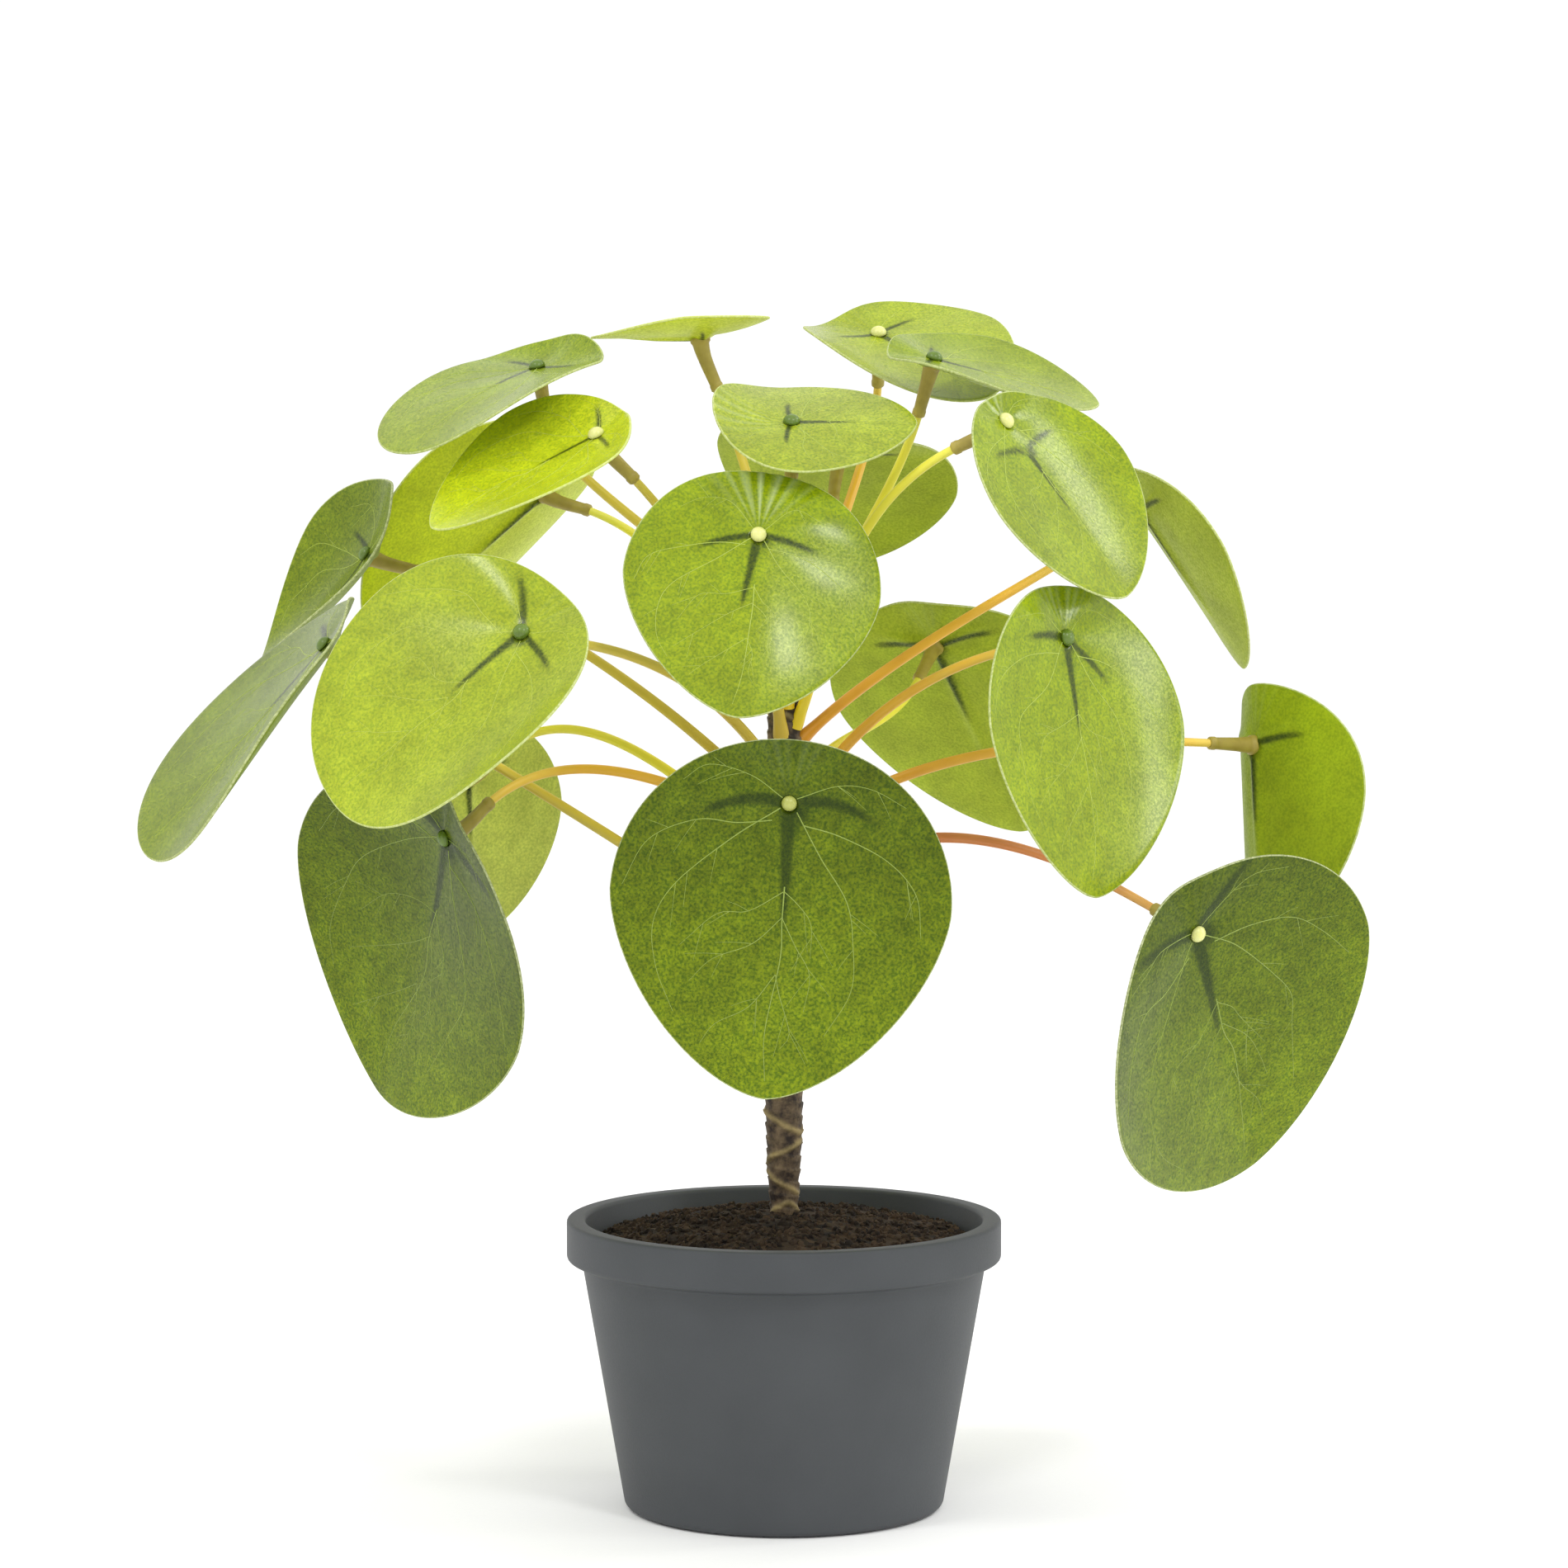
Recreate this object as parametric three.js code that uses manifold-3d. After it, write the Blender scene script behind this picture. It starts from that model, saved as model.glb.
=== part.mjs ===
// A potted pilea about 25 cm tall: an artificial plant with 21 round leaves.
// Each leaf is a printed blade with a hole near its top edge. Behind it sits a moulded
// socket, and a pale knob in front of it holds the blade on. The stalk bends from the
// socket to a wrapped trunk, which stands in the soil of a plain round pot.
// Millimetres, +Z up. The plant is seen from -Y, and the origin is the centre of the pot's foot.

import * as THREE from "three";
import { mergeVertices } from "three/addons/utils/BufferGeometryUtils.js";
import Module from "manifold-3d";

const wasm = await Module();
wasm.setup();

// Driving sizes. CLEARANCE is left between pieces that touch, and SEAT_GAP between a blade and
// the socket and knob that hold it.
const CLEARANCE = 0.35;
const SEAT_GAP = 0.5;

const POT = {
  height: 60, topRadius: 45, footRadius: 33, rimHeight: 9, rimStep: 1.6, wall: 2.2, floor: 3, edge: 0.8,
  sides: 48,
};
const SOIL = { edgeLevel: 55, centreLevel: 61, lump: 0.5, lumpPitch: 7, sides: 40, rings: 5 };
const TRUNK = { bottom: 26, top: 180, sides: 12, rings: 34, wrapPitch: 4.2, wrapDepth: 0.25 };

// The trunk's [height, radius] along its length: it is thickest a little above the soil.
const TRUNK_RADII = [[26, 2.8], [61, 2.9], [72, 3.6], [83, 4.0], [100, 3.7], [150, 3.6], [180, 3.3]];

const BLADE = {
  thickness: 0.7, holeRadius: 1.35, heldRadius: 4, creaseRadius: 3, waves: 3,
  segments: 20, rings: [0, 0.36, 0.7, 1],
};
const OUTLINE = { width: 0.95, upper: 0.45, lower: 0.55 };
const RIB = { height: 1.0, segments: [0, 6, 14], fade: [1, 0.7, 0, 0] };
const SOCKET = { length: 9.5, rearRadius: 1.6, frontRadius: 2.3 };
const NECK_RADIUS = 0.8;
const KNOB = { height: 1.5, profile: [[0, 1.8], [0.55, 1.6], [1, 0.8]] };
const STALK = { rootRadius: 1.45, endRadius: 1.05, sides: 7, steps: 11, rootDepth: 1.0 };
const ROOT_SEAT = { steps: 4, share: 0.2 };

// The leaves. at: the knob's place. faces: azimuth (0 to the front, 90 to the right) and
// elevation of the blade's face, in degrees. roll turns the tip from straight down towards the
// right. hole: how far the knob sits below the top edge, as a share of the length. taper: how
// quickly the lower half narrows, 1 being an ellipse. sides (left, right) and ends (top, tip)
// say how many degrees the blade curls towards its face. crease folds the halves along the
// midrib and twist turns the tip against the top, in degrees. wave ripples the edge, by so many
// mm from an angle. leans is the socket's own direction where it isn't square to the blade.
// root: the height of the stalk's root on the trunk, and how many degrees it turns and rises
// there. runs: how far the stalk keeps its direction at its root and at its socket.
const LEAVES = [
  { name: "front_low", tone: "old", at: [1, -68, 151], faces: [0, 4], roll: -5,
    length: 70, hole: 0.18, taper: 1.25, sides: [-8, -8], ends: [-14, -6],
    crease: 0, twist: 0, wave: [0.6, 40],
    root: [130, 12, 50], runs: [24, 18], stalk: "olive" },
  { name: "front_mid", tone: "mid", at: [-5, -48, 202], faces: [4, 28], roll: -8,
    length: 54, hole: 0.28, taper: 1.25, sides: [-8, -16], ends: [-10, -8],
    crease: 0, twist: 0, wave: [0.6, 100],
    root: [160, -4, 66], runs: [22, 14], stalk: "olive" },
  { name: "front_high", tone: "mid", at: [1.5, -28, 224], faces: [0, 64], roll: 90,
    length: 42, hole: 0.4, taper: 1.25, sides: [-10, -6], ends: [34, 0],
    crease: 0, twist: 0, wave: [0.6, 0],
    root: [166, 8, 74], runs: [24, 14], stalk: "yellow" },
  { name: "left_front", tone: "young", at: [-50.5, -62, 183.5], faces: [-20, 32], roll: -42,
    length: 61, hole: 0.19, taper: 1, sides: [0, 34], ends: [-14, -14],
    crease: 6, twist: 0, wave: [0.6, 60],
    root: [152, 0, 48], runs: [30, 20], leans: [-35, 5], stalk: "olive" },
  { name: "left_low", tone: "old", at: [-67, -38, 142], faces: [-63, -15], roll: -37,
    length: 78, hole: 0.12, taper: 1.2, sides: [30, -12], ends: [-8, 22],
    crease: 6, twist: 0, wave: [0.6, 10],
    root: [141, 0, 24], runs: [18, 24], leans: [-60, -38], stalk: "orange" },
  { name: "left_top", tone: "mid", at: [-51, 10, 235.5], faces: [-37, 74], roll: -10,
    length: 50, hole: 0.22, taper: 0.95, sides: [0, 18], ends: [53, -23],
    crease: 0, twist: 0, wave: [0.6, 0],
    root: [175, 0, 60], runs: [26, 14], stalk: "olive" },
  { name: "left_bright", tone: "young", at: [-37.5, -22, 221.5], faces: [-42, 56], roll: -35,
    length: 46, hole: 0.17, taper: 1.2, sides: [13, 7], ends: [19, -3],
    crease: 6, twist: 0, wave: [0.6, 0],
    root: [169, 0, 56], runs: [20, 20], leans: [-75, 46], stalk: "olive" },
  { name: "left_behind", tone: "young", at: [-52.5, 60, 209.5], faces: [-130, 35], roll: 35,
    length: 64, hole: 0.22, taper: 1.1, sides: [20, 6], ends: [0, 0],
    crease: 11, twist: 0, wave: [0.6, 0],
    root: [164, 0, 52], runs: [20, 20], leans: [-110, 17], stalk: "yellow" },
  { name: "left_dark", tone: "mid", at: [-88, 28, 196.5], faces: [-73, 30], roll: -14,
    length: 50, hole: 0.33, taper: 1, sides: [53, 25], ends: [25, 26],
    crease: 0, twist: -14, wave: [0.8, 0],
    root: [145, 0, 46], runs: [26, 24], leans: [-95, 15], stalk: "olive" },
  { name: "left_side", tone: "mid", at: [-92, -24, 179.5], faces: [-74, 39], roll: -9,
    length: 67, hole: 0.17, taper: 1.05, sides: [2, 26], ends: [22, 3],
    crease: 0, twist: 22, wave: [0.8, 0],
    root: [116, 0, 40], runs: [30, 20], stalk: "olive" },
  { name: "back_low", tone: "young", at: [-68, 38, 149], faces: [-145, 12], roll: -10,
    length: 50, hole: 0.25, taper: 1.25, sides: [0, 0], ends: [0, 0],
    crease: 0, twist: 0, wave: [0.8, 0],
    root: [135, 0, 36], runs: [26, 24], leans: [-115, -38], stalk: "yellow" },
  { name: "back_mid", tone: "mid", at: [12, 52, 218], faces: [166, 58], roll: 17,
    length: 57, hole: 0.23, taper: 1.25, sides: [0, 19], ends: [-18, -10],
    crease: 4, twist: 0, wave: [0.8, 0],
    root: [157, 8, 66], runs: [24, 16], stalk: "yellow" },
  { name: "back_right", tone: "mid", at: [33.5, 70, 176], faces: [154, 38], roll: -6,
    length: 68, hole: 0.18, taper: 1.25, sides: [4, 4], ends: [0, 0],
    crease: 0, twist: 0, wave: [0.8, 0],
    root: [145, 0, 46], runs: [24, 22], stalk: "yellow" },
  { name: "top_left", tone: "young", at: [-17.5, 15, 242.5], faces: [-90, 86], roll: 0,
    length: 38, hole: 0.4, taper: 1.25, sides: [22, 22], ends: [20, 5],
    crease: 0, twist: 0, wave: [0, 0],
    root: [178, -24, 80], runs: [20, 14], leans: [-90, 69], stalk: "olive" },
  { name: "top_back", tone: "young", at: [20, 35, 243], faces: [0, 62], roll: 38,
    length: 49, hole: 0.25, taper: 1.25, sides: [40, 5], ends: [0, 0],
    crease: 0, twist: 0, wave: [0.8, 0],
    root: [171, -15, 70], runs: [24, 16], stalk: "orange" },
  { name: "top_right", tone: "young", at: [30.5, -5, 237], faces: [45, 69], roll: 43,
    length: 45, hole: 0.22, taper: 1.25, sides: [16, 16], ends: [0, 0],
    crease: 0, twist: 0, wave: [0.8, 0],
    root: [174, 0, 66], runs: [24, 16], stalk: "yellow" },
  { name: "right_high", tone: "mid", at: [43.5, -38, 224.2], faces: [49, 32], roll: 16,
    length: 48, hole: 0.12, taper: 1.15, sides: [-6, 13], ends: [13, 0],
    crease: 7, twist: 0, wave: [0.6, 0],
    root: [162, 14, 60], runs: [16, 30], leans: [70, 25], stalk: "yellow" },
  { name: "right_edge", tone: "mid", at: [75.5, 22, 206.5], faces: [101, 33], roll: 0,
    length: 52, hole: 0.22, taper: 1.25, sides: [10, 10], ends: [0, 0],
    crease: 6, twist: 0, wave: [0.6, 0],
    root: [158, 0, 44], runs: [26, 18], stalk: "orange" },
  { name: "right_mid", tone: "mid", at: [55, -48, 182], faces: [50, 11], roll: -3,
    length: 62, hole: 0.17, taper: 1.25, sides: [-6, 6], ends: [0, 0],
    crease: 7, twist: 0, wave: [0.6, 0],
    root: [143, 0, 54], runs: [28, 20], stalk: "orange" },
  { name: "right_side", tone: "mid", at: [98, 8, 157.5], faces: [122, -4], roll: -8,
    length: 54, hole: 0.24, taper: 1.1, sides: [8, 60], ends: [0, 0],
    crease: 15, twist: 0, wave: [0.6, 0],
    root: [139, 0, 40], runs: [34, 24], stalk: "orange" },
  { name: "right_low", tone: "old", at: [81, -48, 124], faces: [42, -19], roll: 34,
    length: 78, hole: 0.16, taper: 1.25, sides: [17, 5], ends: [-8, 0],
    crease: 8, twist: 0, wave: [0.6, 0],
    root: [127, 0, 40], runs: [40, 20], stalk: "red" },
];

// Colours and finishes.
const plain = (color, roughness) => new THREE.MeshStandardMaterial({ color, roughness, metalness: 0 });
const BLADE_MATERIALS = {
  young: plain(0xa6c626, 0.42),
  mid: plain(0x86ab1f, 0.4),
  old: plain(0x5d7d1a, 0.42),
};
const STALK_MATERIALS = {
  yellow: plain(0xcfc43a, 0.5),
  olive: plain(0xa8a040, 0.5),
  orange: plain(0xc98a35, 0.5),
  red: plain(0xb8663c, 0.5),
};
const TRUNK_MATERIAL = plain(0x5a4636, 0.85);
const SOIL_MATERIAL = plain(0x2c241d, 0.95);
const POT_MATERIAL = plain(0x3b3d3f, 0.6);

// A mesh's closed surface as a manifold solid, and back again.
function toSolid(geometry) {
  const bare = new THREE.BufferGeometry().setAttribute("position", geometry.getAttribute("position"));
  bare.setIndex(geometry.index);
  const merged = mergeVertices(bare, 1e-4);
  return new wasm.Manifold(new wasm.Mesh({
    numProp: 3,
    vertProperties: new Float32Array(merged.attributes.position.array),
    triVerts: new Uint32Array(merged.index.array),
  }));
}

function toGeometry(solid) {
  const { numProp, vertProperties, triVerts } = solid.getMesh();
  const positions = new Float32Array(vertProperties.length / numProp * 3);
  for (let i = 0; i < positions.length / 3; i++) {
    positions.set(vertProperties.subarray(i * numProp, i * numProp + 3), i * 3);
  }
  const geometry = new THREE.BufferGeometry();
  geometry.setAttribute("position", new THREE.BufferAttribute(positions, 3));
  geometry.setIndex(new THREE.BufferAttribute(triVerts, 1));
  return geometry;
}

function fromPoints(points, triangles) {
  const geometry = new THREE.BufferGeometry().setFromPoints(points);
  geometry.setIndex(triangles);
  return geometry;
}

// A closed round bar through stations of { point, along, radius }, with flat ends.
function sweep(stations, sides) {
  const points = [];
  const triangles = [];
  const side = new THREE.Vector3(1, 0.2, 0.1);
  for (const { point, along, radius } of stations) {
    side.addScaledVector(along, -side.dot(along)).normalize();
    const other = new THREE.Vector3().crossVectors(along, side);
    for (let k = 0; k < sides; k++) {
      const turn = 2 * Math.PI * k / sides;
      points.push(point.clone()
        .addScaledVector(side, radius * Math.cos(turn))
        .addScaledVector(other, radius * Math.sin(turn)));
    }
  }
  const last = (stations.length - 1) * sides;
  for (let ring = 0; ring < last; ring += sides) {
    for (let k = 0; k < sides; k++) {
      const next = (k + 1) % sides;
      const [a, b, c, d] = [ring + k, ring + next, ring + sides + next, ring + sides + k];
      triangles.push(a, b, c, a, c, d);
    }
  }
  for (let k = 1; k < sides - 1; k++) {
    triangles.push(0, k + 1, k, last, last + k, last + k + 1);
  }
  return fromPoints(points, triangles);
}

const radians = THREE.MathUtils.degToRad;

// The direction of an azimuth (0 to the front, 90 to the right) and an elevation.
function direction(azimuth, elevation) {
  const a = radians(azimuth);
  const e = radians(elevation);
  return new THREE.Vector3(Math.sin(a) * Math.cos(e), -Math.cos(a) * Math.cos(e), Math.sin(e));
}

// A leaf's own axes: face is square to the blade, tip runs down it and right across it.
function leafFrame(leaf) {
  const face = direction(...leaf.faces);
  const down = new THREE.Vector3(0, 0, -1).addScaledVector(face, face.z).normalize();
  const right = new THREE.Vector3().crossVectors(face, down);
  const roll = radians(leaf.roll);
  const tip = down.clone().multiplyScalar(Math.cos(roll)).addScaledVector(right, Math.sin(roll));
  const across = new THREE.Vector3().crossVectors(face, tip);
  return { knob: new THREE.Vector3(...leaf.at), face, tip, right: across };
}

// The flat outline, as [across, up] from the knob: half an ellipse above the widest line, and
// below it a curve that narrows to a soft tip. A turn of 0 is the tip, and 90 degrees the right.
function outline({ length, hole, taper }, turn) {
  const up = -Math.cos(turn);
  const power = up < 0 ? taper : 1;
  const widest = hole - OUTLINE.upper;
  const reach = up < 0 ? -OUTLINE.lower : OUTLINE.upper;
  return [
    length * OUTLINE.width / 2 * Math.sign(Math.sin(turn)) * Math.abs(Math.sin(turn)) ** power,
    length * (widest + reach * Math.abs(up) ** power),
  ];
}

// How far a strip runs and rises when it curls evenly, by so many degrees over its full reach.
function curl(distance, reach, degrees) {
  const rate = radians(degrees) / reach;
  if (Math.abs(rate) < 1e-6) return [distance, 0];
  return [Math.sin(rate * distance) / rate, (1 - Math.cos(rate * distance)) / rate];
}

// A point of the curled blade's middle surface, from its flat place. The blade is held flat
// between the socket and the knob, and curls freely away from them.
function bladePoint(leaf, frame, across, up) {
  const [left, right] = leaf.sides;
  const [top, tip] = leaf.ends;
  const halfWidth = leaf.length * OUTLINE.width / 2;
  const above = leaf.length * leaf.hole;
  const below = leaf.length - above;
  const [x, riseAcross] = curl(across, halfWidth, across < 0 ? left : right);
  const [y, riseAlong] = curl(up, up > 0 ? above : below, up > 0 ? top : tip);
  const edge = Math.hypot(across / halfWidth, (up + (below - above) / 2) / (leaf.length / 2));
  const [height, start] = leaf.wave;
  const ripple = height * edge ** 2 * Math.sin(BLADE.waves * Math.atan2(across, -up) + radians(start));
  const offMidrib = Math.hypot(across, BLADE.creaseRadius) - BLADE.creaseRadius;
  const fold = Math.tan(radians(leaf.crease)) * offMidrib;
  const turned = across * up / leaf.length * Math.tan(radians(leaf.twist));
  const free = 1 - Math.exp(-((Math.hypot(across, up) / BLADE.heldRadius) ** 2));
  return frame.knob.clone()
    .addScaledVector(frame.right, x)
    .addScaledVector(frame.tip, -y)
    .addScaledVector(frame.face, free * (riseAcross + riseAlong + ripple + fold + turned));
}

// The blade: front and back grids round the hole, split alike, with three ribs raised on the back.
function makeBlade(leaf) {
  const frame = leafFrame(leaf);
  const { segments, rings, holeRadius, thickness } = BLADE;
  const nearby = 0.5;
  const front = [];
  const back = [];
  rings.forEach((share, ring) => {
    for (let k = 0; k < segments; k++) {
      const [edgeX, edgeY] = outline(leaf, 2 * Math.PI * k / segments);
      const reach = Math.hypot(edgeX, edgeY);
      const along = (holeRadius + share * (reach - holeRadius)) / reach;
      const [x, y] = [edgeX * along, edgeY * along];
      const middle = bladePoint(leaf, frame, x, y);
      const alongX = bladePoint(leaf, frame, x + nearby, y).sub(bladePoint(leaf, frame, x - nearby, y));
      const alongY = bladePoint(leaf, frame, x, y + nearby).sub(bladePoint(leaf, frame, x, y - nearby));
      const normal = alongX.cross(alongY).normalize();
      const rib = RIB.segments.includes(k) ? RIB.height * RIB.fade[ring] : 0;
      front.push(middle.clone().addScaledVector(normal, thickness / 2));
      back.push(middle.clone().addScaledVector(normal, -thickness / 2 - rib));
    }
  });
  const behind = front.length;
  const outer = (rings.length - 1) * segments;
  const triangles = [];
  for (let k = 0; k < segments; k++) {
    const next = (k + 1) % segments;
    for (let ring = 0; ring < outer; ring += segments) {
      const [a, b, c, d] = [ring + k, ring + segments + k, ring + segments + next, ring + next];
      triangles.push(a, b, c, a, c, d);
      triangles.push(behind + a, behind + c, behind + b, behind + a, behind + d, behind + c);
    }
    const [b, c] = [outer + k, outer + next];
    triangles.push(b, behind + b, behind + c, b, behind + c, c);
    triangles.push(k, next, behind + next, k, behind + next, behind + k);
  }
  return fromPoints([...front, ...back], triangles);
}

// The stalk's line from its root in the trunk to the rear of the socket.
function stalkCurve(leaf) {
  const { knob, face } = leafFrame(leaf);
  const lean = leaf.leans ? direction(...leaf.leans) : face;
  const seat = BLADE.thickness / 2 + RIB.height + SEAT_GAP;
  const socketFront = knob.clone().addScaledVector(face, -seat);
  const socketRear = socketFront.clone().addScaledVector(lean, -SOCKET.length);
  const [root, turn, rise] = leaf.root;
  const azimuth = THREE.MathUtils.radToDeg(Math.atan2(socketRear.x, -socketRear.y)) + turn;
  const outward = direction(azimuth, 0);
  const start = outward.multiplyScalar(trunkRadius(root) - STALK.rootDepth).setZ(root);
  const leaving = direction(azimuth, rise);
  const curve = new THREE.CubicBezierCurve3(
    start,
    start.clone().addScaledVector(leaving, leaf.runs[0]),
    socketRear.clone().addScaledVector(lean, -leaf.runs[1]),
    socketRear,
  );
  return { curve, leaving, socketFront, socketRear, lean, knob, face };
}

// The stalk with its socket, neck and knob, as one bar of changing radius.
function makeStalk(leaf) {
  const { curve, leaving, socketFront, socketRear, lean, knob, face } = stalkCurve(leaf);
  const stations = [];
  for (let i = 0; i <= STALK.steps; i++) {
    const share = i / STALK.steps;
    const radius = THREE.MathUtils.lerp(STALK.rootRadius, STALK.endRadius, share);
    stations.push({ point: curve.getPoint(share), along: curve.getTangent(share), radius });
  }
  stations[0].along = leaving;
  const knobSeat = BLADE.thickness / 2 + SEAT_GAP;
  const above = (height) => knob.clone().addScaledVector(face, height);
  stations.push(
    { point: socketRear, along: lean, radius: SOCKET.rearRadius },
    { point: socketFront, along: face, radius: SOCKET.frontRadius },
    { point: socketFront, along: face, radius: NECK_RADIUS },
    { point: above(knobSeat), along: face, radius: NECK_RADIUS },
  );
  for (const [share, radius] of KNOB.profile) {
    stations.push({ point: above(knobSeat + KNOB.height * share), along: face, radius });
  }
  return sweep(stations, STALK.sides);
}

// The seat that a stalk's root needs in the trunk: the same bar, wider by the clearance.
function makeRootSeat(leaf) {
  const { curve, leaving } = stalkCurve(leaf);
  const radius = STALK.rootRadius + CLEARANCE;
  const foot = curve.getPoint(0).addScaledVector(leaving, -CLEARANCE);
  const stations = [{ point: foot, along: leaving, radius }];
  for (let i = 1; i <= ROOT_SEAT.steps; i++) {
    const share = ROOT_SEAT.share * i / ROOT_SEAT.steps;
    stations.push({ point: curve.getPoint(share), along: curve.getTangent(share), radius });
  }
  return sweep(stations, STALK.sides);
}

// The trunk's radius at a height, read along its list of radii.
function trunkRadius(height) {
  const upper = TRUNK_RADII.findIndex(([z]) => z >= height);
  if (upper < 1) return TRUNK_RADII[upper < 0 ? TRUNK_RADII.length - 1 : 0][1];
  const [[z0, r0], [z1, r1]] = [TRUNK_RADII[upper - 1], TRUNK_RADII[upper]];
  return THREE.MathUtils.mapLinear(height, z0, z1, r0, r1);
}

// The trunk: a bar wrapped in tape, whose turns stand out a little, with a seat for each root.
function makeTrunk(leaves) {
  const up = new THREE.Vector3(0, 0, 1);
  const stations = [];
  for (let i = 0; i <= TRUNK.rings; i++) {
    const z = THREE.MathUtils.lerp(TRUNK.bottom, TRUNK.top, i / TRUNK.rings);
    const wrap = TRUNK.wrapDepth * Math.sin(2 * Math.PI * z / TRUNK.wrapPitch);
    stations.push({ point: new THREE.Vector3(0, 0, z), along: up, radius: trunkRadius(z) + wrap });
  }
  let trunk = toSolid(sweep(stations, TRUNK.sides));
  for (const leaf of leaves) {
    trunk = trunk.subtract(toSolid(makeRootSeat(leaf)));
  }
  return toGeometry(trunk);
}

// The pot's outer wall leans out evenly from the foot to the rim.
function potWallRadius(height) {
  return THREE.MathUtils.lerp(POT.footRadius, POT.topRadius - POT.rimStep, height / POT.height);
}

function makePot() {
  const { height, topRadius, footRadius, edge, floor, wall } = POT;
  const rimFoot = height - POT.rimHeight;
  const profile = [
    [0, 0], [footRadius - edge, 0], [potWallRadius(edge), edge], [potWallRadius(rimFoot), rimFoot],
    [topRadius, rimFoot + edge], [topRadius, height - edge], [topRadius - edge, height],
    [potWallRadius(height) - wall + edge, height], [potWallRadius(height - edge) - wall, height - edge],
    [potWallRadius(floor) - wall, floor], [0, floor],
  ].map(([radius, z]) => new THREE.Vector2(radius, z));
  return new THREE.LatheGeometry(profile, POT.sides).rotateX(Math.PI / 2);
}

// The soil fills the pot to just under its rim, heaped a little and lumpy round the trunk.
function makeSoil() {
  const base = POT.floor + CLEARANCE;
  const wallAt = (z) => potWallRadius(z) - POT.wall - CLEARANCE;
  const edgeRadius = wallAt(SOIL.edgeLevel);
  const profile = [[0, base], [wallAt(base), base], [edgeRadius, SOIL.edgeLevel]];
  for (let i = SOIL.rings - 1; i >= 0; i--) {
    const share = i / SOIL.rings;
    const heap = (SOIL.centreLevel - SOIL.edgeLevel) * (1 - share ** 2);
    profile.push([edgeRadius * share, SOIL.edgeLevel + heap]);
  }
  const points = profile.map(([radius, z]) => new THREE.Vector2(radius, z));
  const geometry = new THREE.LatheGeometry(points, SOIL.sides).rotateX(Math.PI / 2);
  const place = geometry.getAttribute("position");
  for (let i = 0; i < place.count; i++) {
    const [x, y, z] = [place.getX(i), place.getY(i), place.getZ(i)];
    const turn = 2 * Math.PI / SOIL.lumpPitch;
    const isHeap = z > SOIL.edgeLevel + SOIL.lump;
    if (isHeap) place.setZ(i, z + SOIL.lump * Math.sin(x * turn) * Math.cos(y * turn));
  }
  const holeRadius = trunkRadius(SOIL.centreLevel) + TRUNK.wrapDepth + CLEARANCE;
  const hole = new THREE.CylinderGeometry(holeRadius, holeRadius, POT.height, TRUNK.sides * 2)
    .rotateX(Math.PI / 2)
    .translate(0, 0, TRUNK.bottom - CLEARANCE + POT.height / 2);
  return toGeometry(toSolid(geometry).subtract(toSolid(hole)));
}

const plant = new THREE.Group();

function add(name, geometry, material) {
  const mesh = new THREE.Mesh(geometry, material);
  mesh.name = name;
  plant.add(mesh);
}

add("pot", makePot(), POT_MATERIAL);
add("soil", makeSoil(), SOIL_MATERIAL);
add("trunk", makeTrunk(LEAVES), TRUNK_MATERIAL);
for (const leaf of LEAVES) {
  add(`blade_${leaf.name}`, makeBlade(leaf), BLADE_MATERIALS[leaf.tone]);
  add(`stalk_${leaf.name}`, makeStalk(leaf), STALK_MATERIALS[leaf.stalk]);
}

export default plant;
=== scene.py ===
# A potted pilea, an artificial plant, dressed for the picture: a moulded pot, its soil, the
# taped trunk, the bending stalks with their sockets and knobs, and the printed leaf blades.
# Metres, +Z up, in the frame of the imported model. The pieces follow in the order of assembly.

import math

import bpy
import numpy as np
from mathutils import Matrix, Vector, noise


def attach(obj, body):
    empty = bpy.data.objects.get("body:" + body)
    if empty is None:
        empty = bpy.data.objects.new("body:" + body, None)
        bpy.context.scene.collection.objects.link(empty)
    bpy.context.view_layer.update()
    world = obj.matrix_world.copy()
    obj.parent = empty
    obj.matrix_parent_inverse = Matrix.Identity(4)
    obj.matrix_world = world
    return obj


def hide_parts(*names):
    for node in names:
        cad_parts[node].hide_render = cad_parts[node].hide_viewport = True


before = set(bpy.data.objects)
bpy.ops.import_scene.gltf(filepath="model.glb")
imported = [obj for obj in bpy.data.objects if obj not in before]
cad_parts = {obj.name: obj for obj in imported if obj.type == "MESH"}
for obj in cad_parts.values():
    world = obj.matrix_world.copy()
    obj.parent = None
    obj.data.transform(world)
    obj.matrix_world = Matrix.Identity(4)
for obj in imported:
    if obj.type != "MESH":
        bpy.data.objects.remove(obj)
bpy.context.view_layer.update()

MM = 0.001


# ---------------------------------------------------------------------------------------------
# The pot: a round charcoal pot, injection moulded from polypropylene with a thick rim band.
# Its mould is spark-eroded, which gives the even matt grain. It stands on its flat foot.

POT_HEIGHT = 60
POT_FOOT_RADIUS = 33
POT_TOP_RADIUS = 45
POT_RIM_HEIGHT = 9
POT_RIM_STEP = 1.6
POT_WALL = 2.2
POT_FLOOR = 3
POT_EDGE = 0.8
POT_FOOT_RING = (29.5, 0.7)  # inner radius and depth of the hollow under the foot
POT_SIDES = 144


def linear(hex_colour):
    """An sRGB hex colour as linear RGBA."""
    parts = [int(hex_colour[i:i + 2], 16) / 255 for i in (1, 3, 5)]
    lit = [p / 12.92 if p <= 0.04045 else ((p + 0.055) / 1.055) ** 2.4 for p in parts]
    return (*lit, 1.0)


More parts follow.
